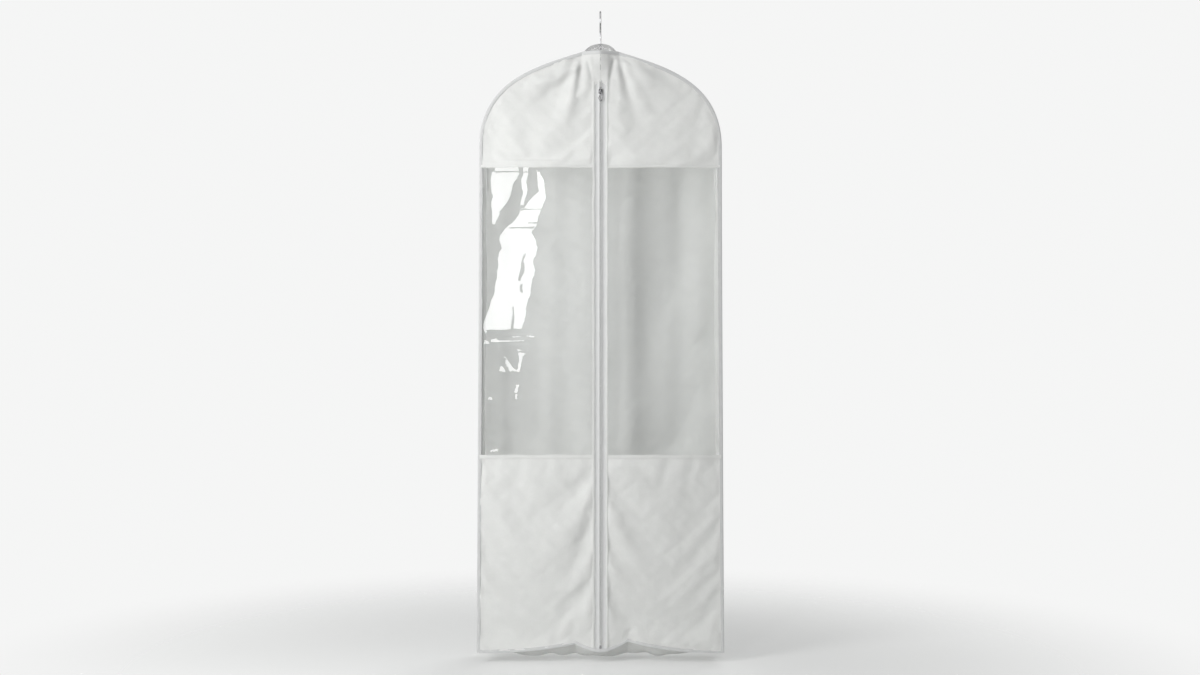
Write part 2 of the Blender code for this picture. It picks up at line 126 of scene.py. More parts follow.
def full_turn(steps):
    """Cosine and sine at even steps round one full turn."""
    turn = np.linspace(0.0, 2 * math.pi, steps, endpoint=False)
    return np.cos(turn), np.sin(turn)


def ripples(x, z, size, seed, lean=None, spread=0.5, waves=9):
    """Soft random ripples about one size long: a mean of plane waves, in all directions
    or within a spread of one lean."""
    pick = np.random.default_rng(seed)
    middle, half = (0.0, math.pi / 2) if lean is None else (lean, spread)
    heading = middle + pick.uniform(-half, half, waves)
    number = 2 * math.pi / (size * pick.uniform(0.6, 1.7, waves))
    phase = pick.uniform(0.0, 2 * math.pi, waves)
    total = 0.0
    for n, h, p in zip(number, heading, phase):
        total = total + np.sin(n * (x * math.cos(h) + z * math.sin(h)) + p)
    return total / math.sqrt(waves)


def ray_fold(x, z, start, lean, reach, width):
    """A soft fold along a ray that leaves start at a lean from straight down. Its section
    is a bell that widens along it, and it fades in and out along its reach."""
    dx = x - start[0]
    dz = start[1] - z
    along = (dx * math.sin(lean) + dz * math.cos(lean)) / reach
    across = dx * math.cos(lean) - dz * math.sin(lean)
    bell = np.exp(-((across / (width * (0.35 + np.clip(along, 0, 1)))) ** 2))
    return bell * ease(along * 6.0) * (1.0 - ease(along)) * (along > 0)


# %% The outer edge
FLARE = 0.006
EDGE_STEPS = 1400
EDGE_ROUNDING = 9


def frame_edge(node):
    """Corners down the outer edge of a bound panel: those with nothing further out above them."""
    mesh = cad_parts[node].data
    corners = np.empty(3 * len(mesh.vertices), np.float32)
    mesh.vertices.foreach_get("co", corners)
    corners = corners.reshape(-1, 3)
    order = np.argsort(-corners[:, 2], kind="stable")
    x, z = corners[order, 0], corners[order, 2]
    widest_above = np.maximum.accumulate(np.concatenate([[0.0], x[:-1]]))
    keep = x > widest_above + 1e-5
    return np.vstack([np.column_stack([x[keep], z[keep]]), [x.max(), z.min()]])


def smooth_edge(corners):
    """The edge in equal short steps, its corners rounded by a running mean, flared to the hem."""
    length = np.concatenate([[0.0], np.cumsum(np.hypot(*np.diff(corners, axis=0).T))])
    steps = np.linspace(0.0, length[-1], EDGE_STEPS)
    line = np.column_stack([np.interp(steps, length, corners[:, k]) for k in (0, 1)])
    kernel = np.ones(2 * EDGE_ROUNDING + 1) / (2 * EDGE_ROUNDING + 1)
    for k in (0, 1):
        line[EDGE_ROUNDING:-EDGE_ROUNDING, k] = np.convolve(line[:, k], kernel, "valid")
    line[:, 0] += FLARE * np.clip((YOKE_SEAM - line[:, 1]) / (YOKE_SEAM - HEM), 0, 1) ** 1.3
    return line


EDGE = smooth_edge(frame_edge("front_edge_binding_right"))


def edge_line(inset, z_from, z_to, rows):
    """x and z down the right edge, moved inwards by inset, in equal steps between two heights."""
    run = np.gradient(EDGE, axis=0)
    run /= np.hypot(run[:, 0], run[:, 1])[:, None]
    line = EDGE + inset * np.column_stack([run[:, 1], -run[:, 0]])
    order = np.minimum.accumulate(line[:, 1])
    first = np.searchsorted(-order, -z_from)
    last = max(np.searchsorted(-order, -z_to), first + 2)
    part = line[first:last]
    length = np.concatenate([[0.0], np.cumsum(np.hypot(*np.diff(part, axis=0).T))])
    steps = np.linspace(0.0, length[-1], rows)
    return [np.interp(steps, length, part[:, k]) for k in (0, 1)]


def half_width(z):
    """Half width of the bag at a height."""
    return np.interp(z, EDGE[::-1, 1], EDGE[::-1, 0])


print("edge length", round(float(np.hypot(*np.diff(EDGE, axis=0).T).sum()), 3))


# %% [markdown]
# ## Making meshes
# A grid of points becomes a mesh in one call. Sheets get their thickness from a
# Solidify modifier, applied at once, so that what bends later is the final mesh.
# Tubes and tapes carry a closed section along a path, and small repeated shapes,
# such as stitches and coil turns, are one set of points placed many times.

# %% Grids, tubes and caps
SHARP = math.radians(60)


def grid_faces(rows, columns, wrap=False):
    """Corner numbers of a grid's quads. A wrapped grid closes on itself across its columns."""
    r = np.arange(rows - 1)[:, None]
    c = np.arange(columns if wrap else columns - 1)[None, :]
    beside = (c + 1) % columns
    corners = (r * columns + c, r * columns + beside, (r + 1) * columns + beside, (r + 1) * columns + c)
    return np.stack(corners, -1).reshape(-1, 4)


def new_object(name, points, faces, uv, material):
    """A smooth-shaded mesh object. uv gives each point a place on the cloth in metres."""
    mesh = bpy.data.meshes.new(name)
    mesh.from_pydata(points.reshape(-1, 3), [], [tuple(face) for face in faces])
    layer = mesh.uv_layers.new(name="UVMap")
    corner = np.empty(len(mesh.loops), np.int32)
    mesh.loops.foreach_get("vertex_index", corner)
    layer.data.foreach_set("uv", uv.reshape(-1, 2)[corner].astype(np.float32).ravel())
    mesh.materials.append(material)
    mesh.shade_smooth()
    mesh.set_sharp_from_angle(angle=SHARP)
    made = bpy.data.objects.new(name, mesh)
    bpy.context.scene.collection.objects.link(made)
    return made


def apply_modifiers(item):
    """Swap an object's mesh for the one its modifiers make."""
    graph = bpy.context.evaluated_depsgraph_get()
    final = bpy.data.meshes.new_from_object(item.evaluated_get(graph))
    item.modifiers.clear()
    item.data = final
    final.name = item.name
    final.set_sharp_from_angle(angle=SHARP)
    return item


def sheet(name, points, uv, thickness, material, wrap=False):
    """A grid of points given a thickness, half to each side. A wrapped one is a closed band."""
    made = new_object(name, points, grid_faces(*points.shape[:2], wrap), uv, material)
    if wrap:
        face_outwards(made)
    wall = made.modifiers.new("wall", "SOLIDIFY")
    wall.thickness = thickness
    wall.offset = 0.0
    return apply_modifiers(made)


def sweep(path, across, out, section):
    """A closed section carried along a path: path + across * first + out * second."""
    section = np.broadcast_to(section, (len(path),) + section.shape[-2:])
    return (
        path[:, None, :]
        + across[:, None, :] * section[:, :, 0:1]
        + out[:, None, :] * section[:, :, 1:2]
    )


def tube_faces(rows, columns):
    """Quads of a wrapped grid and one flat cap at each end."""
    quads = [tuple(face) for face in grid_faces(rows, columns, wrap=True)]
    last = (rows - 1) * columns
    return quads + [tuple(range(columns))[::-1], tuple(range(last, last + columns))]


def closed_rows(rows, columns):
    """Faces of wrapped rows closed by a fan to one more point before them and one after."""
    faces = [tuple(face) for face in grid_faces(rows, columns, wrap=True)]
    first, last = rows * columns, rows * columns + 1
    edge = (rows - 1) * columns
    for k in range(columns):
        beside = (k + 1) % columns
        faces.append((first, beside, k))
        faces.append((last, edge + k, edge + beside))
    return faces


def length_along(path):
    """Distance walked along a path, from 0."""
    step = np.linalg.norm(np.diff(path, axis=0), axis=1)
    return np.concatenate([[0.0], np.cumsum(step)])


def tube(name, points, path, girth, material):
    """A capped tube from swept points, with its uv along the path and round the section."""
    rows, columns = points.shape[:2]
    uv = np.empty((rows, columns, 2))
    uv[..., 0] = girth * np.abs(np.linspace(-1.0, 1.0, columns, endpoint=False))[None, :]
    uv[..., 1] = length_along(path)[:, None]
    made = new_object(name, points, tube_faces(rows, columns), uv, material)
    return face_outwards(made)


def face_outwards(item):
    """Turn every face of a closed mesh to point out of it."""
    shape = bmesh.new()
    shape.from_mesh(item.data)
    bmesh.ops.recalc_face_normals(shape, faces=shape.faces)
    shape.to_mesh(item.data)
    shape.free()
    return item


def ring_section(half_wide, half_thick, columns, power):
    """A closed rounded section: a superellipse, near a rectangle when its power is small."""
    c, s = full_turn(columns)
    return np.column_stack([half_wide * rounded(c, power), half_thick * rounded(s, power)])


def unit(vectors):
    """Rows scaled to length one."""
    return vectors / np.linalg.norm(vectors, axis=-1, keepdims=True)


def run_of(path):
    """Direction of travel at each point of an open path, length one."""
    return unit(np.gradient(path, axis=0))


def square_to(run, out):
    """The part of each out that stands square to the run, scaled to length one."""
    return unit(out - run * (out * run).sum(1, keepdims=True))


def every_row(direction, count):
    """One direction, repeated for each row."""
    return np.tile(np.array(direction, float), (count, 1))


# %% Small shapes placed many times
def pebble(size, power, rings=12, segments=24):
    """A rounded block of a size: a superellipsoid, closed at two poles, centred on 0."""
    turn = np.linspace(0.0, math.pi, rings + 2)[1:-1, None]
    c, s = full_turn(segments)
    wide = rounded(np.sin(turn), power)
    tall = rounded(np.cos(turn), power)
    body = np.stack([wide * rounded(c, power), wide * rounded(s, power), tall + 0 * c], -1)
    points = np.vstack([body.reshape(-1, 3), [[0, 0, 1], [0, 0, -1]]])
    return points * np.array(size) / 2, closed_rows(rings, segments)


def grain(long, wide, thick):
    """A rice grain lying along x: a pebble of few faces, turned on its side."""
    points, faces = pebble((wide, thick, long), 1.0, 4, 6)
    return points[:, [2, 0, 1]], [face[::-1] for face in faces]


def place_many(name, shape, centres, along, out, material):
    """One mesh with a copy of a small shape at each centre, its length along, its top out."""
    points, faces = shape
    side = np.cross(out, along)
    turned = (
        points[None, :, 0:1] * along[:, None, :]
        + points[None, :, 1:2] * side[:, None, :]
        + points[None, :, 2:3] * out[:, None, :]
        + centres[:, None, :]
    )
    count = len(points)
    copied = [tuple(count * k + c for c in face) for k in range(len(centres)) for face in faces]
    uv = np.broadcast_to(points[None, :, :2], turned.shape[:2] + (2,))
    return face_outwards(new_object(name, turned, copied, np.ascontiguousarray(uv), material))


STITCH_PITCH = 0.0036
STITCH = grain(0.0027, 0.00055, 0.0005)


def stitch_places(path, out):
    """Even stitch places along a path, with the path's run and the outward direction there."""
    length = length_along(path)
    places = np.arange(STITCH_PITCH / 2, length[-1], STITCH_PITCH)
    centres = np.column_stack([np.interp(places, length, path[:, k]) for k in range(3)])
    run = np.gradient(path, axis=0)
    along = unit(np.column_stack([np.interp(places, length, run[:, k]) for k in range(3)]))
    outward = np.column_stack([np.interp(places, length, out[:, k]) for k in range(3)])
    return centres, along, square_to(along, outward)


print("stitch faces", len(STITCH[1]))


# %% [markdown]
# ## Finishes
# A finish could be a picture wrapped on the mesh, but a picture has one size and one
# grain. Here each is worked out from noise and waves, so it stays sharp close up. The
# effects that several finishes share are node groups: the bonded fibres of non-woven
# cloth, a woven rib, and the faint marks of handling.

# %% Node helpers
def add_node(tree, kind, inputs=None, **settings):
    """A shader node; each input is a plain value or the output that it is linked from."""
    made = tree.nodes.new(kind)
    for label, value in settings.items():
        setattr(made, label, value)
    for label, value in (inputs or {}).items():
        if isinstance(value, bpy.types.NodeSocket):
            tree.links.new(value, made.inputs[label])
        else:
            made.inputs[label].default_value = value
    return made


def maths(tree, operation, first, second=0.0, clamp=False):
    """The output of one Math node."""
    made = add_node(tree, "ShaderNodeMath", {0: first, 1: second}, operation=operation, use_clamp=clamp)
    return made.outputs[0]


def noise(tree, vector, scale, detail=3.0, stretch=None, turn=0.0):
    """A noise value, stretched along one way when asked."""
    if stretch is not None:
        mapping = add_node(
            tree, "ShaderNodeMapping", {"Vector": vector, "Scale": stretch, "Rotation": (0, 0, turn)}
        )
        vector = mapping.outputs["Vector"]
    made = add_node(tree, "ShaderNodeTexNoise", {"Vector": vector, "Scale": scale, "Detail": detail})
    return made.outputs["Fac"]


def between(tree, value, low, high):
    """A 0 to 1 value moved to the range from low to high."""
    made = add_node(tree, "ShaderNodeMapRange", {"Value": value, "To Min": low, "To Max": high})
    return made.outputs["Result"]


def stretched(tree, value, low, high):
    """The part of a value from low to high, stretched to 0 to 1."""
    made = add_node(tree, "ShaderNodeMapRange", {"Value": value, "From Min": low, "From Max": high})
    return made.outputs["Result"]


def tint(tree, value, dark, light):
    """A colour between two, by a 0 to 1 value."""
    made = add_node(tree, "ShaderNodeMix", {"Factor": value}, data_type="RGBA")
    made.inputs["A"].default_value = (*dark, 1.0)
    made.inputs["B"].default_value = (*light, 1.0)
    return made.outputs["Result"]


def new_group(name, inputs, outputs):
    """An empty node group with float inputs, a Vector, and float outputs."""
    tree = bpy.data.node_groups.new(name, "ShaderNodeTree")
    tree.interface.new_socket("Vector", in_out="INPUT", socket_type="NodeSocketVector")
    for label, value in inputs.items():
        socket = tree.interface.new_socket(label, in_out="INPUT", socket_type="NodeSocketFloat")
        socket.default_value = value
    for label in outputs:
        tree.interface.new_socket(label, in_out="OUTPUT", socket_type="NodeSocketFloat")
    return tree, add_node(tree, "NodeGroupInput"), add_node(tree, "NodeGroupOutput")


def use_group(tree, group, vector, values=None):
    """A placed group, reading a vector, with its own values."""
    return add_node(tree, "ShaderNodeGroup", {"Vector": vector, **(values or {})}, node_tree=group)


# %% Shared effects
def make_bonded_fibres():
    """Non-woven cloth: long fibres laid every way, thicker and thinner clouds of them, and
    the grid of small dimples where hot pins have bonded the mat."""
    tree, given, result = new_group("bonded_fibres", {"Pin Pitch": 0.0016}, ["Cloud", "Height"])
    vector = given.outputs["Vector"]
    thin = (1.0, 0.06, 1.0)
    strands = [noise(tree, vector, 900.0, 2.0, stretch=thin, turn=turn) for turn in (0.3, 1.2, 2.2)]
    fibres = maths(tree, "MAXIMUM", maths(tree, "MAXIMUM", strands[0], strands[1]), strands[2])
    broad = maths(tree, "MULTIPLY", noise(tree, vector, 38.0), 0.6)
    fine = maths(tree, "MULTIPLY", noise(tree, vector, 240.0), 0.4)
    cloud = maths(tree, "ADD", broad, fine)
    pins = add_node(tree, "ShaderNodeVectorMath", {0: vector}, operation="DIVIDE")
    pitch = add_node(tree, "ShaderNodeCombineXYZ", {k: given.outputs["Pin Pitch"] for k in range(3)})
    tree.links.new(pitch.outputs[0], pins.inputs[1])
    even = {"Vector": pins.outputs[0], "Scale": 1.0, "Randomness": 0.0}
    cell = add_node(tree, "ShaderNodeTexVoronoi", even)
    dimple = stretched(tree, cell.outputs["Distance"], 0.12, 0.34)
    height = maths(tree, "ADD", maths(tree, "MULTIPLY", fibres, 0.7), dimple)
    cloud = maths(tree, "ADD", cloud, maths(tree, "MULTIPLY", fibres, 0.15))
    tree.links.new(cloud, result.inputs["Cloud"])
    tree.links.new(height, result.inputs["Height"])
    return tree


def make_woven_rib():
    """A woven tape: ribs across it and finer threads along it, each a sine wave, over and
    under, with some threads thicker than others."""
    tree, given, result = new_group("woven_rib", {"Rib": 0.0009}, ["Shade", "Height"])
    parts = add_node(tree, "ShaderNodeSeparateXYZ", {"Vector": given.outputs["Vector"]})
    turns = maths(tree, "DIVIDE", 2 * math.pi, given.outputs["Rib"])
    ribs = maths(tree, "SINE", maths(tree, "MULTIPLY", parts.outputs["Y"], turns))
    threads = maths(tree, "SINE", maths(tree, "MULTIPLY", parts.outputs["X"], turns))
    crossing = maths(tree, "MULTIPLY", ribs, threads)
    uneven = noise(tree, given.outputs["Vector"], 500.0, 1.0, stretch=(1.0, 0.1, 1.0))
    ribbed = maths(tree, "MULTIPLY", ribs, 0.15)
    shade = maths(tree, "ADD", maths(tree, "MULTIPLY", uneven, 0.7), ribbed)
    tree.links.new(maths(tree, "ADD", shade, 0.1, clamp=True), result.inputs["Shade"])
    height = maths(tree, "ADD", crossing, maths(tree, "MULTIPLY", uneven, 0.5))
    tree.links.new(height, result.inputs["Height"])
    return tree


def make_handling():
    """Faint marks of handling: wide clouds of soil or polish, and short hairline scuffs."""
    tree, given, result = new_group("handling", {"Size": 0.05}, ["Clouds", "Scuffs"])
    vector = given.outputs["Vector"]
    scale = maths(tree, "DIVIDE", 1.0, given.outputs["Size"])
    tree.links.new(noise(tree, vector, scale, 4.0), result.inputs["Clouds"])
    fine = maths(tree, "MULTIPLY", scale, 30.0)
    lines = [noise(tree, vector, fine, 2.0, stretch=(1.0, 0.05, 0.4), turn=turn) for turn in (0.5, 2.0)]
    scuffs = stretched(tree, maths(tree, "MAXIMUM", *lines), 0.66, 0.8)
    tree.links.new(scuffs, result.inputs["Scuffs"])
    return tree


BONDED_FIBRES = make_bonded_fibres()
WOVEN_RIB = make_woven_rib()
HANDLING = make_handling()


# %% Cloth, film and tape finishes
def new_finish(name, roughness, **constants):
    """A material with a Principled shader; constants are set on its own sockets."""
    material = bpy.data.materials.new(name)
    material.use_nodes = True
    tree = material.node_tree
    shader = tree.nodes["Principled BSDF"]
    shader.inputs["Roughness"].default_value = roughness
    for label, value in constants.items():
        shader.inputs[label.replace("_", " ")].default_value = value
    places = add_node(tree, "ShaderNodeTexCoord")
    return material, tree, shader, places.outputs


def add_bump(tree, shader, height, distance, strength):
    """Let a height turn the shading's normal, as if the surface rose by the distance."""
    settings = {"Height": height, "Distance": distance, "Strength": strength}
    bump = add_node(tree, "ShaderNodeBump", settings)
    tree.links.new(bump.outputs["Normal"], shader.inputs["Normal"])


def make_cloth(name, dark, light, see_through):
    """Non-woven cloth: matt, a little see-through, cloudy where the fibres bunch. Some of
    the light that falls on it goes straight on through."""
    material, tree, shader, places = new_finish(
        name, 0.8, Transmission_Weight=see_through, IOR=1.05, Sheen_Weight=0.08, Sheen_Roughness=0.5
    )
    fibres = use_group(tree, BONDED_FIBRES, places["UV"])
    handled = use_group(tree, HANDLING, places["Object"], {"Size": 0.12})
    wear = between(tree, handled.outputs["Clouds"], 0.85, 1.15)
    cloud = maths(tree, "MULTIPLY", fibres.outputs["Cloud"], wear)
    tree.links.new(tint(tree, cloud, dark, light), shader.inputs["Base Color"])
    add_bump(tree, shader, fibres.outputs["Height"], 0.00006, 0.6)
    rays = add_node(tree, "ShaderNodeLightPath")
    shade = between(tree, rays.outputs["Is Shadow Ray"], 1.0, 0.28)
    tree.links.new(shade, shader.inputs["Alpha"])
    return material


def make_film(name, body):
    """Clear vinyl: glass-like, faintly smeared, and open to light that only passes through.
    A body below 1 lets that share of the view pass straight through."""
    material, tree, shader, places = new_finish(name, 0.03, Transmission_Weight=1.0, IOR=1.42)
    handled = use_group(tree, HANDLING, places["Object"], {"Size": 0.09})
    tree.links.new(
        tint(tree, handled.outputs["Clouds"], (0.955, 0.965, 0.962), (0.99, 0.995, 0.993)),
        shader.inputs["Base Color"],
    )
    smear = maths(tree, "ADD", handled.outputs["Clouds"], handled.outputs["Scuffs"])
    tree.links.new(between(tree, smear, 0.01, 0.07), shader.inputs["Roughness"])
    rays = add_node(tree, "ShaderNodeLightPath")
    passing = maths(tree, "MAXIMUM", rays.outputs["Is Shadow Ray"], rays.outputs["Is Diffuse Ray"])
    tree.links.new(between(tree, passing, body, 0.1), shader.inputs["Alpha"])
    return material


def make_ribbed(name, dark, light, rib, depth, roughness):
    """A woven or heat-ribbed tape, its ribs drawn in the tape's own uv."""
    material, tree, shader, places = new_finish(name, roughness, Sheen_Weight=0.1)
    weave = use_group(tree, WOVEN_RIB, places["UV"], {"Rib": rib})
    tree.links.new(tint(tree, weave.outputs["Shade"], dark, light), shader.inputs["Base Color"])
    add_bump(tree, shader, weave.outputs["Height"], depth, 0.7)
    return material


def make_hard(name, dark, light, rough_low, rough_high, size, **constants):
    """A moulded or metal surface whose gloss and colour drift with handling."""
    material, tree, shader, places = new_finish(name, rough_low, **constants)
    handled = use_group(tree, HANDLING, places["Object"], {"Size": size})
    tree.links.new(tint(tree, handled.outputs["Clouds"], dark, light), shader.inputs["Base Color"])
    polish = maths(tree, "MULTIPLY", handled.outputs["Clouds"], 0.6)
    worn = maths(tree, "ADD", polish, handled.outputs["Scuffs"])
    tree.links.new(between(tree, worn, rough_low, rough_high), shader.inputs["Roughness"])
    add_bump(tree, shader, noise(tree, places["Object"], 2400.0, 2.0), 0.00002, 0.35)
    return material


CLOTH = make_cloth("nonwoven_cloth", (0.64, 0.645, 0.635), (0.75, 0.755, 0.742), 0.34)
FILM, CAP_FILM, BEAD_FILM = (
    make_film(name, body) for name, body in (("clear_film", 1.0), ("cap_film", 0.22), ("bead_film", 0.6))
)
BINDING, ZIP_WEAVE, THREAD = (
    make_ribbed(*row)
    for row in (
        ("binding_tape", (0.46, 0.465, 0.465), (0.62, 0.625, 0.62), 0.0007, 0.00005, 0.55),
        ("zip_tape_weave", (0.52, 0.525, 0.525), (0.68, 0.685, 0.68), 0.0009, 0.00008, 0.75),
        ("sewing_thread", (0.60, 0.60, 0.60), (0.76, 0.76, 0.75), 0.0003, 0.00003, 0.5),
    )
)
COIL, NICKEL, CHROME, HANGER, STAY = (
    make_hard(*row, Metallic=metallic)
    for *row, metallic in (
        ("coil_nylon", (0.50, 0.505, 0.505), (0.64, 0.645, 0.64), 0.28, 0.5, 0.01, 0.0),
        ("slider_nickel", (0.32, 0.32, 0.33), (0.46, 0.46, 0.47), 0.16, 0.42, 0.006, 1.0),
        ("hook_chrome", (0.58, 0.58, 0.59), (0.74, 0.74, 0.75), 0.08, 0.3, 0.02, 1.0),
        ("hanger_plastic", (0.07, 0.07, 0.072), (0.11, 0.11, 0.112), 0.32, 0.55, 0.03, 0.0),
        ("stay_plastic", (0.66, 0.66, 0.66), (0.78, 0.78, 0.78), 0.3, 0.5, 0.02, 0.0),
    )
)
print("finishes:", len(bpy.data.materials))


# %% [markdown]
# ## The relief of the front
# A hanging bag is never flat: the front is pulled in at its seams and pushed out
# between them. Folds could be left to a simulation alone, but a simulation doesn't
# know where this bag was last folded. So the broad folds are drawn on one chart of
# the whole front, a height for each place, and only the small ones are left to a
# simulation later. Every front piece reads the same chart, so pieces meet at a seam.

# %% The chart
CELL = 0.002
CHART_X = np.arange(-SIDE - 0.014, SIDE + 0.014, CELL)
CHART_Z = np.arange(HEM - 0.01, NECK + 0.01, CELL)
X, Z = np.meshgrid(CHART_X, CHART_Z)
UP = Z - HEM
FROM_EDGE = np.clip(half_width(Z) - BINDING_WIDTH - np.abs(X), 0.0, None)
FROM_ZIP = np.clip(np.abs(X) - TAPE_EDGE, 0.0, None)


def read_chart(chart, x, z):
    """A chart's value between its cells, from the four cells around each place."""
    i = np.clip((x - CHART_X[0]) / CELL, 0, len(CHART_X) - 1.001)
    j = np.clip((z - CHART_Z[0]) / CELL, 0, len(CHART_Z) - 1.001)
    i0, j0 = i.astype(int), j.astype(int)
    fi, fj = i - i0, j - j0
    low = chart[j0, i0] * (1 - fi) + chart[j0, i0 + 1] * fi
    high = chart[j0 + 1, i0] * (1 - fi) + chart[j0 + 1, i0 + 1] * fi
    return low * (1 - fj) + high * fj


def soften(chart, rounds):
    """A chart blurred by its neighbours, a few times over."""
    for _ in range(rounds):
        padded = np.pad(chart, 1, mode="edge")
        beside = padded[:-2, 1:-1] + padded[2:, 1:-1] + padded[1:-1, :-2] + padded[1:-1, 2:]
        chart = beside / 8 + chart / 2
    return chart


print("chart", CHART_X.size, "by", CHART_Z.size)


# %% The windows' film
# The film leans towards the left over a few facets of the left window, parted by
# grooves. Only film that leans by the glint's slope shines the softbox back. Facets and
# grooves are tapered bands: start, end, half width at the start and at the end.
FACETS = [
    ((-0.232, 1.187), (-0.264, 1.060), 0.034, 0.004),
    ((-0.236, 1.180), (-0.270, 1.187), 0.008, 0.002),
    ((-0.184, 1.207), (-0.192, 1.085), 0.011, 0.004),
    ((-0.151, 1.192), (-0.142, 1.130), 0.004, 0.012),
    ((-0.145, 1.132), (-0.212, 1.018), 0.014, 0.036),
    ((-0.203, 1.010), (-0.211, 0.900), 0.047, 0.044),
    ((-0.212, 0.910), (-0.240, 0.810), 0.044, 0.046),
    ((-0.207, 0.780), (-0.190, 0.748), 0.009, 0.012),
    ((-0.192, 0.745), (-0.201, 0.700), 0.010, 0.003),
    ((-0.240, 0.733), (-0.208, 0.690), 0.003, 0.009),
    ((-0.208, 0.690), (-0.203, 0.625), 0.006, 0.001),
    ((-0.284, 0.768), (-0.266, 0.766), 0.006, 0.002),
]
GLINTS = [
    ((-0.112, 1.196), (-0.114, 1.156), 0.0045, 0.0030),
    ((-0.241, 0.700), (-0.234, 0.690), 0.0075, 0.0045),
    ((-0.268, 0.628), (-0.262, 0.615), 0.0065, 0.0035),
    ((-0.278, 0.496), (-0.256, 0.498), 0.0030, 0.0045),
]
GROOVES = [
    ((-0.206, 1.120), (-0.264, 1.038), 0.0110, 0.0060),
    ((-0.197, 1.204), (-0.198, 1.152), 0.0040, 0.0015),
    ((-0.162, 1.205), (-0.184, 1.105), 0.0090, 0.0010),
    ((-0.187, 1.005), (-0.191, 0.945), 0.0010, 0.0032),
    ((-0.191, 0.945), (-0.203, 0.918), 0.0040, 0.0010),
    ((-0.193, 0.912), (-0.195, 0.866), 0.0020, 0.0010),
    ((-0.211, 0.878), (-0.215, 0.795), 0.0014, 0.0030),
    ((-0.253, 0.924), (-0.266, 0.914), 0.0020, 0.0045),
    ((-0.216, 0.806), (-0.242, 0.828), 0.0010, 0.0014),
]
# The crease parts the facets across most of their width. The patch's edge gives the x
# where the facets end, at a few rises above the hem.
CREASE_UP = 0.789
CREASE_END = -0.218
CREASE_WIDTH = 0.012
PATCH_EDGE = (
    [0.60, 0.79, 0.90, 1.06, 1.15, 1.23],
    [-0.195, -0.185, -0.168, -0.142, -0.128, -0.120],
)


def tapered(x, rise, start, end, half_start, half_end):
    """1 inside a tapered band with round ends and 0 outside, over two millimetres."""
    run = np.subtract(end, start)
    along = np.clip(((x - start[0]) * run[0] + (rise - start[1]) * run[1]) / (run @ run), 0, 1)
    off = np.hypot(x - start[0] - along * run[0], rise - start[1] - along * run[1])
    return ease(0.5 + (half_start + (half_end - half_start) * along - off) / 0.002)


def left_film_lean():
    """Slope of the left film towards the left: the glint's inside a facet, none outside."""
    x = X + 0.0030 * ripples(X, Z, 0.05, 11) + 0.0010 * ripples(X, Z, 0.014, 12)
    rise = UP + 0.0030 * ripples(X, Z, 0.05, 13) + 0.0010 * ripples(X, Z, 0.014, 14)
    inside = np.zeros_like(X)
    for facet in FACETS + GLINTS:
        inside = np.maximum(inside, tapered(x, rise, *facet))
    for groove in GROOVES:
        inside *= 1.0 - tapered(x, rise, *groove)
    soft = 0.004
    above = ease((rise - CREASE_UP) / soft + 0.5)
    below = ease((CREASE_UP - CREASE_WIDTH - rise) / soft + 0.5)
    glint = 0.15 + 0.26 * X
    return glint * soften(inside * np.clip(above + below + (X > CREASE_END), 0, 1), 1)


def smooth_rows(values, reach):
    """A running mean down the rows."""
    padded = np.pad(values, ((reach, reach), (0, 0)), mode="edge")
    total = np.cumsum(np.vstack([0 * padded[:1], padded]), axis=0)
    return (total[2 * reach + 1 :] - total[: -2 * reach - 1]) / (2 * reach + 1)


def film_height():
    """Both windows' film: the slope summed across from the edge, evened out beyond the
    facets, then let down to the zip."""
    on_left = X < -TAPE_EDGE
    slope = left_film_lean() + 0.010 * ripples(X, Z, 0.11, 21)
    rise = np.cumsum(slope * on_left, axis=1) * CELL
    edge = np.interp(UP, *PATCH_EDGE)
    beyond = ease((X - edge) / 0.030)
    rise += (smooth_rows(rise, 18) - rise) * beyond
    at_zip = rise[:, np.searchsorted(CHART_X, -TAPE_EDGE) - 1][:, None]
    left = (rise - at_zip * ease((X - edge) / (-TAPE_EDGE - edge))) * on_left
    across = np.clip(FROM_ZIP / (FROM_ZIP + FROM_EDGE + 1e-6), 0, 1)
    right = 0.005 * np.sin(math.pi * across) ** 1.3
    right += 0.0007 * ripples(X, Z, 0.09, 23, lean=0.3, spread=0.7)
    return left + right * (X > TAPE_EDGE)


def in_windows():
    """1 in the windows, falling to 0 a hand's breadth into the cloth above and below."""
    above = 1.0 - ease((Z - YOKE_SEAM) / 0.13)
    below = 1.0 - ease((WINDOW_HEM - Z) / 0.10)
    return above * below


# %% The cloth's folds
# Each fold that leaves the neck, the last two along the hanger's arms: x, rise, lean,
# reach, width and height of its ray.
NECK_FOLDS = [
    (-0.047, 1.482, -0.05, 0.24, 0.016, -0.0040),
    (-0.036, 1.480, 0.26, 0.16, 0.008, -0.0022),
    (-0.055, 1.478, -0.45, 0.22, 0.017, -0.0030),
    (-0.065, 1.476, -0.85, 0.20, 0.018, 0.0022),
    (-0.052, 1.470, -0.20, 0.30, 0.014, 0.0022),
    (0.036, 1.478, -0.20, 0.14, 0.010, -0.0036),
    (0.048, 1.478, 0.24, 0.26, 0.016, -0.0042),
    (0.043, 1.470, 0.04, 0.30, 0.016, 0.0026),
    (0.056, 1.474, 0.60, 0.24, 0.018, -0.0026),
    (0.068, 1.472, 0.92, 0.20, 0.018, 0.0020),
    (-0.030, 1.462, -1.12, 0.25, 0.022, 0.0080),
    (0.032, 1.470, 1.10, 0.27, 0.022, 0.0080),
]
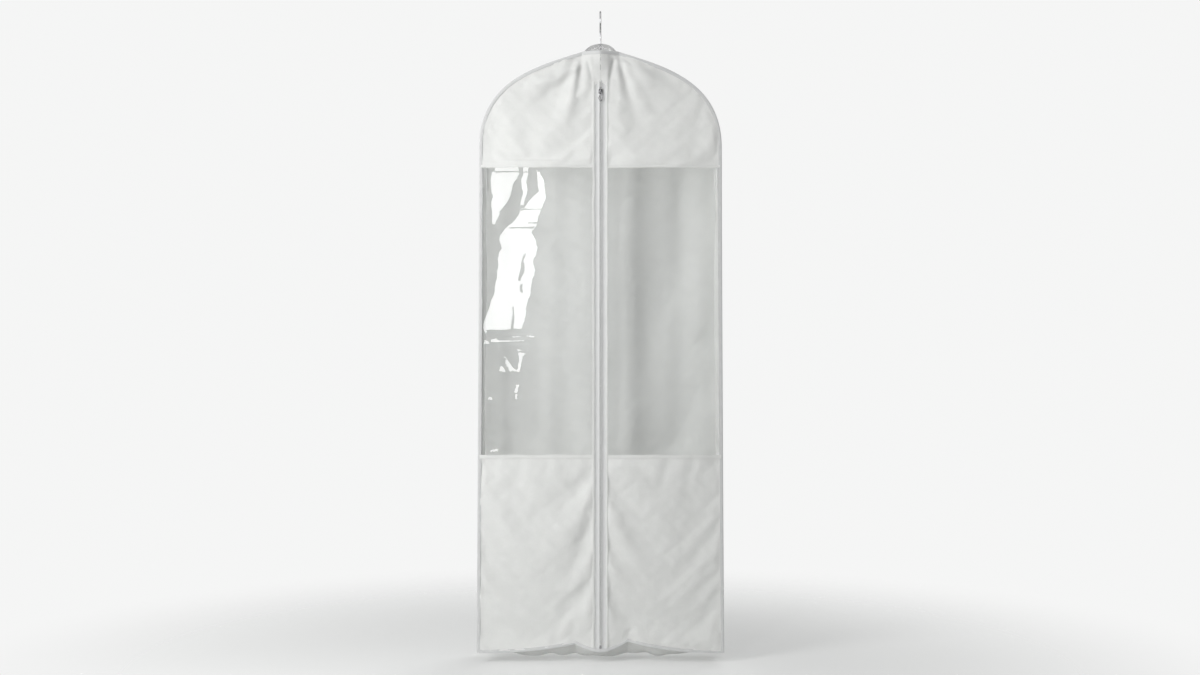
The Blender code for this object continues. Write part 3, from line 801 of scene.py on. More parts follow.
# Each fold that leaves the zip below: rise, lean, distance out, reach and height.
PANEL_FOLDS = [
    (0.47, 0.95, 0.004, 0.34, 0.0046),
    (0.43, 0.62, 0.010, 0.31, -0.0036),
    (0.36, 0.40, 0.016, 0.28, 0.0052),
    (0.28, 0.58, 0.005, 0.25, -0.0040),
    (0.20, 0.85, 0.011, 0.22, 0.0034),
    (0.15, 0.50, 0.017, 0.19, -0.0030),
]
RIDGE = 0.0155


def neck_ridge(x, z):
    """Above the zip the cloth stands up in a ridge, a tent across the neck that lies down
    again at the slider."""
    tent = np.clip(1.0 - np.sqrt(x**2 + 0.0025**2) / (1.12 * NECK_HALF), 0.0, 1.0)
    return RIDGE * tent * ease((z - ZIP_TOP - 0.002) / (NECK - ZIP_TOP - 0.012))


def yoke_folds():
    """Folds that spread from the two neck corners and along the hanger's arms, over wide
    soft hollows, with gathers along the outer seam."""
    total = np.zeros_like(X)
    for x, rise, lean, reach, width, height in NECK_FOLDS:
        total += height * ray_fold(X, Z, (x, up(rise)), lean, reach, width)
    total += 0.0011 * ripples(X, Z, 0.10, 31, lean=0.0, spread=0.6)
    gathers = ripples(X, Z, 0.022, 33) * np.exp(-FROM_EDGE / 0.018)
    return total + 0.00045 * gathers


def panel_folds():
    """Lower panel: wide folds that leave the zip and spread down and outwards. What
    stands out on one side is drawn in on the other."""
    total = np.zeros_like(X)
    for side in (-1, 1):
        for rise, lean, aside, reach, height in PANEL_FOLDS:
            start = (side * aside, up(rise + 0.016 * side))
            lean = side * (lean + 0.06 * side)
            total += side * height * ray_fold(X, Z, start, lean, reach, 0.034)
    return total + 0.0009 * ripples(X, Z, 0.085, 41, lean=0.8, spread=0.9)


# %% The wave of the hem
CUSPS = ((-0.062, 0.021), (0.067, 0.027))
HEM_AT_ZIP = 0.0015
HEM_FOLD_BACK = 0.010


def hem_rise(x):
    """How far the front's lower edge is lifted: an arc from each corner up to a cusp, and
    a shallow hanging curve between the cusps."""
    (xl, zl), (xr, zr) = CUSPS
    outside_left = zl * np.clip((x + SIDE) / (xl + SIDE), 0, 1) ** 2.4
    outside_right = zr * np.clip((SIDE - x) / (SIDE - xr), 0, 1) ** 2.4
    between_left = HEM_AT_ZIP + (zl - HEM_AT_ZIP) * np.clip(x / xl, 0, 1) ** 1.7
    between_right = HEM_AT_ZIP + (zr - HEM_AT_ZIP) * np.clip(x / xr, 0, 1) ** 1.7
    inside = np.where(x < 0, between_left, between_right)
    return np.where(x < xl, outside_left, np.where(x > xr, outside_right, inside))


def hem_folds():
    """The two creases that run up from the cusps, where the cloth is drawn back."""
    total = np.zeros_like(X)
    for x, rise in CUSPS:
        lean = 0.10 * np.sign(x)
        off = X - x - lean * (UP - rise)
        near = np.exp(-np.sqrt(off**2 + 0.012**2) / (0.018 + 0.20 * UP))
        total -= HEM_FOLD_BACK * near * (1.0 - ease(UP / 0.24))
    return total * ease(FROM_ZIP / 0.03)


# %% Summing the chart
def front_chart():
    """All of the front's relief, held at zero along the zip and the side seams."""
    windows = in_windows()
    above = ease((Z - YOKE_SEAM + 0.004) / 0.03)
    below = ease((WINDOW_HEM - Z + 0.004) / 0.03)
    total = windows * film_height() + above * yoke_folds() + below * (panel_folds() + hem_folds())
    total += 0.00028 * ripples(X, Z, 0.03, 51) * (above + below)
    total *= ease(FROM_EDGE / 0.012) * ease(FROM_ZIP / 0.010 + 0.02)
    return soften(total, 2)


FRONT_CHART = front_chart()


def front_out(x, z):
    """How far the front stands out at a place."""
    return read_chart(FRONT_CHART, x, z) + neck_ridge(x, z)


print("front stands out", round(1000 * float(FRONT_CHART.max()), 1), "mm at most")


# %% [markdown]
# ## The front's cloth and film
# Each half of the front is a yoke, a window and a lower panel, sewn edge to edge. A
# piece could be one flat rectangle with many loops; instead its rows run as straight
# lines from the zip to the outer edge, so its cells stay even under the curved
# shoulder. The halves open from the neck down above and from the hem up below when the
# zip does; the pieces are given these bend ranges, but nothing here bends them.

# %% Letting cloth settle
SETTLE_FRAMES = 26
SETTLE_CAP = 0.004
SETTLE_GRAVITY = 0.15
STIFFNESS = {
    "tension_stiffness": 20.0,
    "compression_stiffness": 20.0,
    "shear_stiffness": 12.0,
    "bending_stiffness": 5.0,
}


def border_pins(rows, columns):
    """Numbers of the points along a grid's four edges."""
    held = np.zeros((rows, columns), bool)
    held[[0, -1]] = True
    held[:, [0, -1]] = True
    return np.flatnonzero(held)


def between_rows(values, places):
    """Rows of an array at places between its rows, on a smooth curve through them."""
    low = np.clip(np.floor(places).astype(int), 0, len(values) - 2)
    t = (places - low)[:, None, None]
    t = (ease(t) + t) / 2
    return values[low] * (1 - t) + values[low + 1] * t


def settle(points, spare):
    """Hold a grid of cloth by its edges, give it a little spare length and let it hang: it
    buckles into the small folds that real cloth has. Every other row and column is
    simulated, and the movement, capped, is carried to the rest."""
    coarse = points[::2, ::2]
    rows, columns = coarse.shape[:2]
    no_uv = np.zeros((rows * columns, 2))
    cloth = new_object("settling", coarse, grid_faces(rows, columns), no_uv, CLOTH)
    pins = cloth.vertex_groups.new(name="pins")
    pins.add(border_pins(rows, columns).tolist(), 1.0, "REPLACE")
    step = cloth.modifiers.new("settle", "CLOTH")
    step.settings.vertex_group_mass = "pins"
    step.settings.quality = 5
    step.settings.mass = 0.10
    for label, value in STIFFNESS.items():
        setattr(step.settings, label, value)
    step.settings.air_damping = 2.0
    step.settings.shrink_min = -spare
    step.settings.effector_weights.gravity = SETTLE_GRAVITY
    step.point_cache.frame_end = SETTLE_FRAMES
    for number in range(1, SETTLE_FRAMES + 1):
        bpy.context.scene.frame_set(number)
    graph = bpy.context.evaluated_depsgraph_get()
    final = np.empty(rows * columns * 3, np.float32)
    cloth.evaluated_get(graph).to_mesh().vertices.foreach_get("co", final)
    move = final.reshape(coarse.shape) - coarse
    far = np.linalg.norm(move, axis=-1, keepdims=True)
    move *= SETTLE_CAP * np.tanh(far / SETTLE_CAP) / np.maximum(far, 1e-9)
    bpy.data.objects.remove(cloth)
    bpy.context.scene.frame_set(1)
    print("settled", rows * columns, "points, furthest", round(1000 * float(far.max()), 1), "mm")
    move = between_rows(move, np.linspace(0, rows - 1, points.shape[0]))
    move = between_rows(move.swapaxes(0, 1), np.linspace(0, columns - 1, points.shape[1]))
    return points + move.swapaxes(0, 1)


# %% Ruled cloth of one half
# Cloth stops TUCK inside the outer edge and LAP inside the neck and the hem, where a
# tape hides its edge. The lower halves' bend range starts just above the open slider; nothing here bends
# them.
SHEET = 0.0005
FILM_THICK = 0.0004
TUCK = 0.0045
LAP = 0.004
FOLD_EDGE = TAPE_EDGE - 0.0015
COIL_FOOT = span("zip_coil_right")[0][2]
SLIDER_CLEAR = 0.062
UPPER_BEND = {"start": (0, 0, up(1.45)), "end": (0, 0, up(0.84))}
LOWER_BEND = {"start": (0, 0, COIL_FOOT + SLIDER_CLEAR), "end": (0, 0, up(0.50))}
SHEETS = []


def ruled(inner_x, inner_z, outer_x, outer_z, columns):
    """x and z of a grid whose rows are straight lines from an inner edge to an outer one."""
    u = np.linspace(0.0, 1.0, columns)[None, :]
    x = (1 - u) * np.asarray(inner_x)[:, None] + u * np.asarray(outer_x)[:, None]
    z = (1 - u) * np.asarray(inner_z)[:, None] + u * np.asarray(outer_z)[:, None]
    return x, z


def declare_sheet(item, x, z):
    """Say that a piece is a sheet: its flat cut is the box round the grid it was drawn on."""
    width, length = float(np.ptp(x)), float(np.ptp(z))
    SHEETS.append((item.name, round(width, 3), round(length, 3)))


def front_piece(name, side, x, z, thickness, material, lift=0.0, spare=0.0):
    """A sheet of one half's front, at its relief, settled if it has spare length."""
    sign = SIDES[side]
    out = front_out(sign * x, z) + lift
    points = np.stack([sign * x, FRONT - out, z], -1)
    if spare > 0:
        points = settle(points, spare)
    if sign > 0:
        points = points[:, ::-1]
        x, z = x[:, ::-1], z[:, ::-1]
    return sheet(name, points, np.stack([x, z], -1), thickness, material)


def bend_with(item, side, bend, slot, *nodes):
    """Bake a front piece's place into its mesh, and let it stand for its nodes."""
    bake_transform(item)
    if nodes:
        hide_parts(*nodes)


def fix_to(item, body, slot, *nodes):
    """Let a piece ride on one body, and let it stand for its nodes."""
    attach(item, body)
    if nodes:
        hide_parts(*nodes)


# %% Yokes
def zip_side_edge(z):
    """Where the cloth's inner edge runs: the middle above the zip, and over the tape beside it."""
    return 0.0003 + (FOLD_EDGE - 0.0003) * ease((ZIP_TOP + 0.004 - z) / 0.012)


def make_yoke(side):
    """Cloth from the neck to the window, between the middle and the outer edge."""
    rows, columns = 111, 85
    foot = YOKE_SEAM - 0.001
    x_out, z_out = edge_line(TUCK, NECK - LAP, foot, rows)
    z_in = np.linspace(NECK - 0.003, foot, rows)
    x, z = ruled(zip_side_edge(z_in), z_in, x_out, z_out, columns)
    yoke = front_piece(f"cloth_yoke_{side}", side, x, z, SHEET, CLOTH, spare=0.0015)
    bend_with(yoke, side, UPPER_BEND, "nonwoven", f"yoke_{side}", f"yoke_neck_{side}")
    declare_sheet(yoke, x, z)


# %% Windows and lower panels
def make_window(side):
    """Clear film from the yoke's seam to the window's hem."""
    z = np.linspace(YOKE_SEAM - 0.0005, WINDOW_HEM + 0.0005, 260)
    x, z = ruled(np.full(z.size, FOLD_EDGE), z, half_width(z) - TUCK, z, 100)
    film = front_piece(f"window_film_{side}", side, x, z, FILM_THICK, FILM)
    bend_with(film, side, UPPER_BEND, "vinyl", f"window_{side}")
    declare_sheet(film, x, z)


def make_lower_panel(side):
    """Cloth from the window's hem down to the wave of the bag's hem."""
    rows, columns = 151, 93
    u = np.linspace(0.0, 1.0, columns)
    sign = SIDES[side]
    foot_x = FOLD_EDGE + u * (half_width(HEM) - TUCK - FOLD_EDGE)
    top_x = FOLD_EDGE + u * (half_width(WINDOW_HEM) - TUCK - FOLD_EDGE)
    foot_z = HEM + hem_rise(sign * foot_x) + TUCK
    top_z = np.full(columns, WINDOW_HEM - 0.0005)
    fall = np.linspace(0.0, 1.0, rows)[:, None]
    x = (1 - fall) * top_x + fall * foot_x
    z = (1 - fall) * top_z + fall * foot_z
    panel = front_piece(f"cloth_lower_{side}", side, x, z, SHEET, CLOTH, spare=0.0020)
    bend_with(panel, side, LOWER_BEND, "nonwoven", f"lower_panel_{side}")
    declare_sheet(panel, x, z)


for side in SIDES:
    make_yoke(side)
    make_window(side)
    make_lower_panel(side)
print("front sheets:", SHEETS)


# %% [markdown]
# ## Seams across the front
# Where cloth meets film the cloth's edge is turned under and stitched down, so a seam
# reads as a narrow raised band with a row of stitches at each edge. The band is a
# strip that follows the chart a little further out, and each stitch is a rice grain.

# %% Seam bands and their stitches
BAND_LIFT = 0.0006


def make_seam_band(name, side, middle, width, bend, node):
    """A strip across one half with two stitch rows, one mesh with the strip's own rows."""
    sign = SIDES[side]
    waver = 0.0006 * ripples(np.linspace(0, 0.27, 110), 0.0, 0.09, 61 + sign)
    across = np.linspace(-0.5, 0.5, 9)[:, None]
    x_end = half_width(middle) - TUCK
    x = np.broadcast_to(np.linspace(FOLD_EDGE, x_end, 110)[None, :], (9, 110))
    z = middle - across * width + waver[None, :]
    crown = BAND_LIFT + 0.0005 * (1 - (2 * across) ** 4)
    band = front_piece(f"{name}_{side}", side, x, z, SHEET, CLOTH, lift=crown)
    bend_with(band, side, bend, "nonwoven", node)
    rows = []
    for row in (1, 7):
        out = front_out(sign * x[row], z[row]) + crown[row, 0] + 0.0004
        path = np.column_stack([sign * x[row], FRONT - out, z[row]])
        rows.append(stitch_places(path, every_row((0, -1, 0), len(path))))
    centres, along, outward = (np.vstack(part) for part in zip(*rows))
    stitches = place_many(f"{name}_stitches_{side}", STITCH, centres, along, outward, THREAD)
    bend_with(stitches, side, bend, "binding")


for side in SIDES:
    make_seam_band("yoke_seam", side, YOKE_SEAM, 0.007, UPPER_BEND, f"window_top_seam_{side}")
    make_seam_band("window_hem", side, WINDOW_HEM, 0.010, UPPER_BEND, f"window_hem_{side}")
print("seam bands made")


# %% [markdown]
# ## Back and gussets
# The back is one plain panel. The gusset is the strip that gives the bag its depth: it
# runs down each side from the neck, and another closes the bottom and sags in the
# middle. All are hung cloth, so they get the same kind of soft folds as the front.

# %% The back
def back_out(x, z):
    """The back's relief: a wide billow and a few folds that hang from the shoulders."""
    edge = np.clip(half_width(z) - BINDING_WIDTH - np.abs(x), 0, None)
    top = np.clip(NECK - BINDING_WIDTH - z, 0, None)
    foot = np.clip(z - HEM - BINDING_WIDTH, 0, None)
    held = ease(edge / 0.05) * ease(top / 0.05) * ease(foot / 0.05)
    fall = (NECK - z) / (NECK - HEM)
    billow = 0.004 * (1 - (x / SIDE) ** 2)
    hanging = 0.0016 * ripples(x, z * 0.12, 0.11, 71, lean=0.0, spread=0.25)
    spread = 0.0022 * ripples(x * (1.0 - 0.3 * fall), z * 0.2, 0.16, 72, lean=0.0, spread=0.3)
    fine = 0.0003 * ripples(x, z, 0.035, 73)
    return held * (billow + hanging + spread + fine)


def make_back():
    """One cloth panel from edge to edge, drawn as a right half and its mirror image."""
    rows, columns = 251, 50
    x_out, z_out = edge_line(TUCK, NECK - LAP, HEM + LAP, rows)
    x, z = ruled(np.zeros(rows), np.linspace(NECK - LAP, HEM + LAP, rows), x_out, z_out, columns)
    x = np.hstack([-x[:, :0:-1], x])
    z = np.hstack([z[:, :0:-1], z])
    points = settle(np.stack([x, BACK + back_out(x, z), z], -1), 0.0015)[:, ::-1]
    back = sheet("cloth_back", points, np.stack([x, z], -1), SHEET, CLOTH)
    fix_to(back, "bag", "nonwoven", "back_panel")
    declare_sheet(back, x, z)


make_back()


# %% Side gussets
GUSSET_INSET = BINDING_WIDTH + 0.0006
GUSSET_HALF = span("side_gusset_right")[1][1]
GUSSET_START = span("shoulder_gusset_right")[0][0]


def make_side_gusset(side):
    """A strip along the edge from the neck to the hem, drawn in towards the bag's middle."""
    sign = SIDES[side]
    rows, columns = 360, 15
    path_x, path_z = edge_line(GUSSET_INSET, NECK - 0.012, HEM + BINDING_WIDTH, rows)
    keep = path_x > GUSSET_START
    path_x, path_z = path_x[keep], path_z[keep]
    run = run_of(np.column_stack([path_x, path_z]))
    inward = np.column_stack([run[:, 1], -run[:, 0]])
    v = np.linspace(-1.0, 1.0, columns)[None, :]
    length = length_along(np.column_stack([path_x, path_z]))[:, None]
    hang = ease((length - 0.20) / 0.30)
    draw = 0.006 * hang * (0.7 + 0.3 * ripples(length, 0 * v, 0.3, 81 + sign))
    level = math.pi / 2
    fold = ripples(length * 0.25, v * GUSSET_HALF, 0.03, 83 + sign, lean=level, spread=0.4)
    depth = (1 - v**2) * (draw + hang * 0.0018 * fold)
    x = sign * (path_x[:, None] + depth * inward[:, 0:1])
    z = path_z[:, None] + depth * inward[:, 1:2]
    y = GUSSET_HALF * v + 0 * x
    points = np.stack([x, y, z], -1)
    if sign < 0:
        points = points[:, ::-1]
    uv = np.stack([y, length + 0 * y], -1)
    gusset = sheet(f"cloth_gusset_{side}", points, uv, SHEET, CLOTH)
    fix_to(gusset, "bag", "nonwoven", f"side_gusset_{side}", f"shoulder_gusset_{side}")
    declare_sheet(gusset, y, length + 0 * y)


# %% The bottom gusset
def front_recess(x):
    """How far the front's hem is drawn back at each place along it."""
    return np.clip(-front_out(x, HEM + hem_rise(x) + TUCK), 0.0, None)


def make_bottom_gusset():
    """The bottom strip: its front edge follows the hem's wave and its middle sags."""
    rows, columns = 21, 150
    low, high = span("bottom_gusset")
    u = np.linspace(-1.0, 1.0, columns)[None, :]
    v = np.linspace(-1.0, 1.0, rows)[:, None]
    x = high[0] * u + 0 * v
    to_front = ease((1 - v) / 2)
    sag = (high[2] - low[2]) * (1 - u**4) * (1 - v**2)
    wrinkle = 0.0022 * ripples(x, 0.03 * v, 0.07, 91, lean=0.0, spread=0.4) * (1 - v**2) * (1 - u**6)
    z = high[2] - sag + wrinkle + to_front * hem_rise(x) * 0.8
    y = high[1] * v + to_front * front_recess(x)
    points = np.stack([x, y, z], -1)
    gusset = sheet("cloth_bottom", points, np.stack([x, y], -1), SHEET, CLOTH)
    fix_to(gusset, "bag", "nonwoven", "bottom_gusset")
    declare_sheet(gusset, x, y)


for side in SIDES:
    make_side_gusset(side)
make_bottom_gusset()
print("gussets made")


# %% [markdown]
# ## Bindings
# Every outer edge is wrapped in a folded tape: a round fold outside and two thin layers
# that lap onto the panel, sewn through near their inner edge. A flat strip would lose
# the round outer fold that catches the light, so the tape is a closed section carried
# along the edge, pinched in along its stitch line.

# %% Folded tape along an edge
TAPE_SEAM = 0.55


def tape_section():
    """Section of a folded tape, outer fold at -1: full and round outside, pinched in along
    its stitch line."""
    c, s = full_turn(28)
    across = rounded(c, 0.55)
    pinch = 1.0 - 0.42 * np.exp(-(((across - TAPE_SEAM) / 0.16) ** 2)) - 0.12 * ease(across)
    return np.column_stack([BINDING_WIDTH / 2 * across, BINDING_THICK / 2 * rounded(s, 0.6) * pinch])


def make_binding(name, path, across, out, node, seed):
    """A folded tape along a path. across points into the bag and out away from the panel."""
    along = length_along(path)
    pucker = 1.0 + 0.10 * ripples(along, 0 * along, 0.016, seed)
    section = tape_section()[None] * np.stack([0 * pucker + 1, pucker], -1)[:, None, :]
    waver = 0.0005 * ripples(along, 0 * along, 0.10, seed + 1)[:, None] * out
    points = sweep(path + waver, across, out, section)
    tape = tube(name, points, path, BINDING_WIDTH, BINDING)
    fix_to(tape, "bag", "binding", node)
    seam = path + waver + across * (TAPE_SEAM * BINDING_WIDTH / 2)
    rows = [stitch_places(seam + out * (0.33 * BINDING_THICK) * k, out * k) for k in (1, -1)]
    centres, run, outward = (np.vstack(part) for part in zip(*rows))
    stitches = place_many(f"{name}_stitches", STITCH, centres, run, outward, THREAD)
    fix_to(stitches, "bag", "binding")


def away(face, count):
    """The direction out of the front or the back, once for each point."""
    return every_row((0, -1 if face == "front" else 1, 0), count)


def make_edge_binding(face, side, seed):
    """The tape down one outer edge, from the neck round the shoulder to the hem."""
    x, z = edge_line(BINDING_WIDTH / 2, NECK, HEM + 0.0006, 520)
    run = run_of(np.column_stack([x, z]))
    sign = SIDES[side]
    y = np.full(x.size, FRONT if face == "front" else BACK)
    path = np.column_stack([sign * x, y, z])
    across = np.column_stack([sign * run[:, 1], 0 * y, -run[:, 0]])
    node = f"{face}_edge_binding_{side}"
    make_binding(f"{face}_edge_tape_{side}", path, across, away(face, x.size), node, seed)


def make_hem_binding(face, seed):
    """The hem's tape: straight behind, and along the cusps and arcs in front."""
    end = half_width(HEM) - BINDING_WIDTH * 0.6
    x = np.linspace(-end, end, 360)
    front = face == "front"
    rise = hem_rise(x) if front else 0 * x
    y = FRONT + front_recess(x) if front else np.full(x.size, BACK)
    path = np.column_stack([x, y, HEM + rise + BINDING_WIDTH / 2])
    run = run_of(path)
    out = square_to(run, away(face, x.size))
    across = np.cross(run, out)
    across *= np.sign(across[:, 2:3])
    make_binding(f"{face}_hem_tape", path, across, out, f"{face}_hem_binding", seed)


def make_neck_binding(face, seed):
    """The neck's tape, up over the ridge in front and straight behind."""
    x = np.linspace(-NECK_HALF - 0.001, NECK_HALF + 0.001, 70)
    z = np.full(x.size, NECK - BINDING_WIDTH / 2)
    y = FRONT - neck_ridge(x, z) if face == "front" else np.full(x.size, BACK)
    path = np.column_stack([x, y, z])
    out = square_to(run_of(path), away(face, x.size))
    down = every_row((0, 0, -1), x.size)
    make_binding(f"{face}_neck_tape", path, down, out, f"{face}_neck_binding", seed)


for k, face in enumerate(("front", "back")):
    for side in SIDES:
        make_edge_binding(face, side, 100 + 10 * k + SIDES[side])
    make_hem_binding(face, 130 + k)
    make_neck_binding(face, 140 + k)
print("bindings made")


# %% [markdown]
# ## The zip
# A coil zip is two woven tapes, each with a nylon wire wound into a flattened spring
# along its edge. The turns of one side sit between the turns of the other. A row of
# square teeth would be quicker, but the wound coil is what this kind of zip has, so
# each coil is a tube along a helix, a few faces a turn.

# %% Tapes
ZIP_SPLIT = up(0.66)
COIL_EDGE = span("zip_coil_right")[1][0]
TAPE_FOOT = span("zip_tape_right")[0][2]
STRIP_STEP = 0.005
ZIP_PARTS = {
    "upper": (ZIP_TOP + 0.006, ZIP_SPLIT, UPPER_BEND),
    "lower": (ZIP_SPLIT, TAPE_FOOT, LOWER_BEND),
}


def make_tape(side, part, z_from, z_to, bend):
    """A woven ribbon, dished between the coil's edge and the cloth's folded edge."""
    sign = SIDES[side]
    rows = int((z_from - z_to) / STRIP_STEP)
    x = np.linspace(COIL_EDGE - 0.0006, TAPE_EDGE + 0.0004, 14)[None, :] + np.zeros((rows, 1))
    z = np.linspace(z_from, z_to, rows)[:, None] + 0 * x
    across = (x - COIL_EDGE) / (TAPE_EDGE - COIL_EDGE)
    dish = -0.0011 * np.sin(math.pi * np.clip(across, 0, 1))
    dish += 0.0006 * np.exp(-((across / 0.12) ** 2))
    ripple = 0.00018 * ripples(x, z, 0.024, 151 + sign)
    points = np.stack([sign * x, FRONT - dish - ripple, z], -1)
    if sign > 0:
        points, x, z = points[:, ::-1], x[:, ::-1], z[:, ::-1]
    tape = sheet(f"woven_tape_{part}_{side}", points, np.stack([x, z], -1), 0.0005, ZIP_WEAVE)
    bend_with(tape, side, bend, "zip_tape", f"zip_tape_{side}")


# %% The cloth's folded edges beside the zip
def make_placket(side, part, z_from, z_to, bend):
    """The cloth's edge turned under beside the zip: a small round fold with one stitch row."""
    sign = SIDES[side]
    rows = int((z_from - z_to) / STRIP_STEP)
    z = np.linspace(z_from, z_to, rows)
    flat = np.zeros(rows)
    waver = 0.0004 * ripples(z, flat, 0.12, 161 + sign)
    path = np.column_stack([sign * (TAPE_EDGE + 0.0006) + waver, flat + FRONT - 0.0006, z])
    across = every_row((sign, 0, 0), rows)
    out = every_row((0, -1, 0), rows)
    points = sweep(path, across, out, ring_section(0.0027, 0.0009, 16, 0.7))
    fold = tube(f"folded_edge_{part}_{side}", points, path, 0.006, CLOTH)
    bend_with(fold, side, bend, "nonwoven")
    seam = path + across * 0.0012 + out * 0.0009
    name = f"folded_edge_stitches_{part}_{side}"
    stitches = place_many(name, STITCH, *stitch_places(seam, out), THREAD)
    bend_with(stitches, side, bend, "binding")


# %% Coils
COIL_PITCH = 0.002
COIL_WIRE = 0.00036
TURN_POINTS = 9


def make_coil(side, part, z_from, z_to, bend):
    """Nylon wire along a flattened helix; the right side's turns are half a pitch lower."""
    sign = SIDES[side]
    turns = int((z_from - z_to) / COIL_PITCH)
    t = np.arange(turns * TURN_POINTS + 1) * 2 * math.pi / TURN_POINTS
    start = z_from - (COIL_PITCH / 2 if sign > 0 else 0.0)
    c, s = np.cos(t), np.sin(t)
    reach = (COIL_EDGE + 0.0006) / 2
    x = sign * (COIL_EDGE - reach + reach * rounded(c, 0.8))
    y = FRONT + 0.0009 * rounded(s, 0.8)
    path = np.column_stack([x, y, start - COIL_PITCH * t / (2 * math.pi)])
    run = run_of(path)
    out = square_to(run, unit(np.column_stack([sign * c, s, 0 * c])))
    points = sweep(path, np.cross(run, out), out, ring_section(COIL_WIRE, COIL_WIRE, 5, 1.0))
    coil = tube(f"coil_{part}_{side}", points, path, 0.002, COIL)
    bend_with(coil, side, bend, "zip_coil", f"zip_coil_{side}")


for side in SIDES:
    for part, (z_from, z_to, bend) in ZIP_PARTS.items():
        upper = part == "upper"
        fold_from = z_from - 0.004 if upper else z_from
        fold_to = z_to if upper else z_to + 0.004
        coil_from = SLIDER if upper else z_from
        coil_to = z_to + 0.0005 if upper else COIL_FOOT + 0.0008
        make_tape(side, part, z_from, z_to, bend)
        make_placket(side, part, fold_from, fold_to, bend)
        make_coil(side, part, coil_from, coil_to, bend)
print("coil turns a side:", int((SLIDER - COIL_FOOT) / COIL_PITCH))


# %% Closed small shapes
def plate_shape(outline, half_thick, rim, steps=5):
    """A flat plate in x and z with a quarter-round rim on both faces. Its outline shrinks
    along its own normals as it goes round the rim."""
    run = np.roll(outline, -1, 0) - np.roll(outline, 1, 0)
    inward = unit(np.column_stack([-run[:, 1], run[:, 0]]))
    turn = np.linspace(-math.pi / 2, math.pi / 2, 2 * steps)
    inset = rim * (1 - np.cos(turn))
    depth = rim * np.sin(turn) + np.sign(turn) * (half_thick - rim)
    flat = outline[None] + inset[:, None, None] * inward[None]
    points = np.stack([flat[..., 0], np.broadcast_to(depth[:, None], flat.shape[:2]), flat[..., 1]], -1)
    poles = [[0, -half_thick, 0], [0, half_thick, 0]]
    return np.vstack([points.reshape(-1, 3), poles]), closed_rows(2 * steps, len(outline))


def swept_shape(points):
    """A capped swept tube as points and faces."""
    return points.reshape(-1, 3), tube_faces(*points.shape[:2])


def ring_shape(points):
    """A swept tube whose end meets its start, as points and faces."""
    rows, columns = points.shape[:2]
    quads = grid_faces(rows + 1, columns, wrap=True) % (rows * columns)
    return points.reshape(-1, 3), [tuple(quad) for quad in quads]


def moved(shape, offset):
    """A shape's points shifted by an offset, with its faces."""
    return shape[0] + np.asarray(offset), shape[1]


def gather(name, shapes, material):
    """One object of several closed shapes."""
    points, faces, start = [], [], 0
    for part, part_faces in shapes:
        points.append(part)
        faces += [tuple(start + c for c in face) for face in part_faces]
        start += len(part)
    points = np.vstack(points)
    return face_outwards(new_object(name, points, faces, points[:, [0, 2]], material))


# %% Stops and slider
def make_stops():
    """Pressed metal clips: one on each coil above the slider and one across both at the foot."""
    for side in SIDES:
        low, high = span(f"zip_top_stop_{side}")
        block = moved(pebble(high - low, 0.45), (low + high) / 2)
        clip = gather(f"top_clip_{side}", [block], NICKEL)
        bend_with(clip, side, UPPER_BEND, "zip_metal", f"zip_top_stop_{side}")
    low, high = span("zip_bottom_stop")
    clip = gather("bottom_clip", [moved(pebble(high - low, 0.4), (low + high) / 2)], NICKEL)
    fix_to(clip, "bag", "zip_metal", "zip_bottom_stop")


def make_slider():
    """Two rounded shields, lips down their sides, a post at the top and an arched bridge."""
    low, high = span("zip_slider")
    half_x, half_z = (high - low)[0] / 2, (high - low)[2] / 2
    front = 2 * FRONT - high[1]
    wall = 0.0011
    c, s = full_turn(48)
    narrowing = 0.9 + 0.1 * s
    outline = np.column_stack([half_x * rounded(c, 0.7) * narrowing, half_z * rounded(s, 0.7)])
    shield = plate_shape(outline, wall / 2, 0.0004)
    shapes = [moved(shield, (0, y, SLIDER)) for y in (front + wall / 2, high[1] - wall / 2)]
    for sign in (-1, 1):
        for y in (front + 0.0012, high[1] - 0.0012):
            lip = pebble((0.0010, 0.0024, 1.5 * half_z), 0.4)
            shapes.append(moved(lip, (sign * (half_x - 0.0007), y, SLIDER)))
    post = pebble((0.0026, high[1] - front - 0.0008, half_z * 0.75), 0.4)
    shapes.append(moved(post, (0, FRONT, SLIDER + 0.6 * half_z)))
    arch = np.linspace(0.0, math.pi, 25)
    rise = front - low[1] - 0.00065
    y = front + 0.0004 - rise * np.sin(arch) ** 0.55 - 0.0004 * np.sin(arch)
    path = np.column_stack([0 * arch, y, SLIDER + 0.0046 * np.cos(arch)])
    run = run_of(path)
    across = every_row((1, 0, 0), len(path))
    bridge = sweep(path, across, np.cross(run, across), ring_section(0.0012, 0.00062, 14, 0.6))
    shapes.append(swept_shape(bridge))
    slider = gather("slider_shell", shapes, NICKEL)
    fix_to(slider, "slider", "zip_metal", "zip_slider")


def make_pull():
    """A flat ring drawn in at its neck: a small eye under the bridge and a longer loop below."""
    low, high = span("zip_pull")
    axis_y, thick = (low[1] + high[1]) / 2, high[1] - low[1]
    length = high[2] - low[2] - 0.0016
    t = np.linspace(0.0, 2 * math.pi, 96, endpoint=False)
    drop = length / 2 * (1 - np.cos(t))
    waist = 0.0016 * np.exp(-(((drop - 0.0098) / 0.0030) ** 2))
    wide = 0.0034 - waist + 0.0009 * ease((drop - 0.012) / 0.005)
    path = np.column_stack([np.sin(t) * wide, np.full(t.size, axis_y), high[2] - thick / 2 - drop])
    run = np.roll(path, -1, 0) - np.roll(path, 1, 0)
    out = every_row((0, -1, 0), t.size)
    points = sweep(path, unit(np.cross(run, out)), out, ring_section(0.00085, thick / 2, 16, 0.55))
    pull = gather("pull_ring", [ring_shape(points)], NICKEL)
    fix_to(pull, "pull", "zip_metal", "zip_pull")


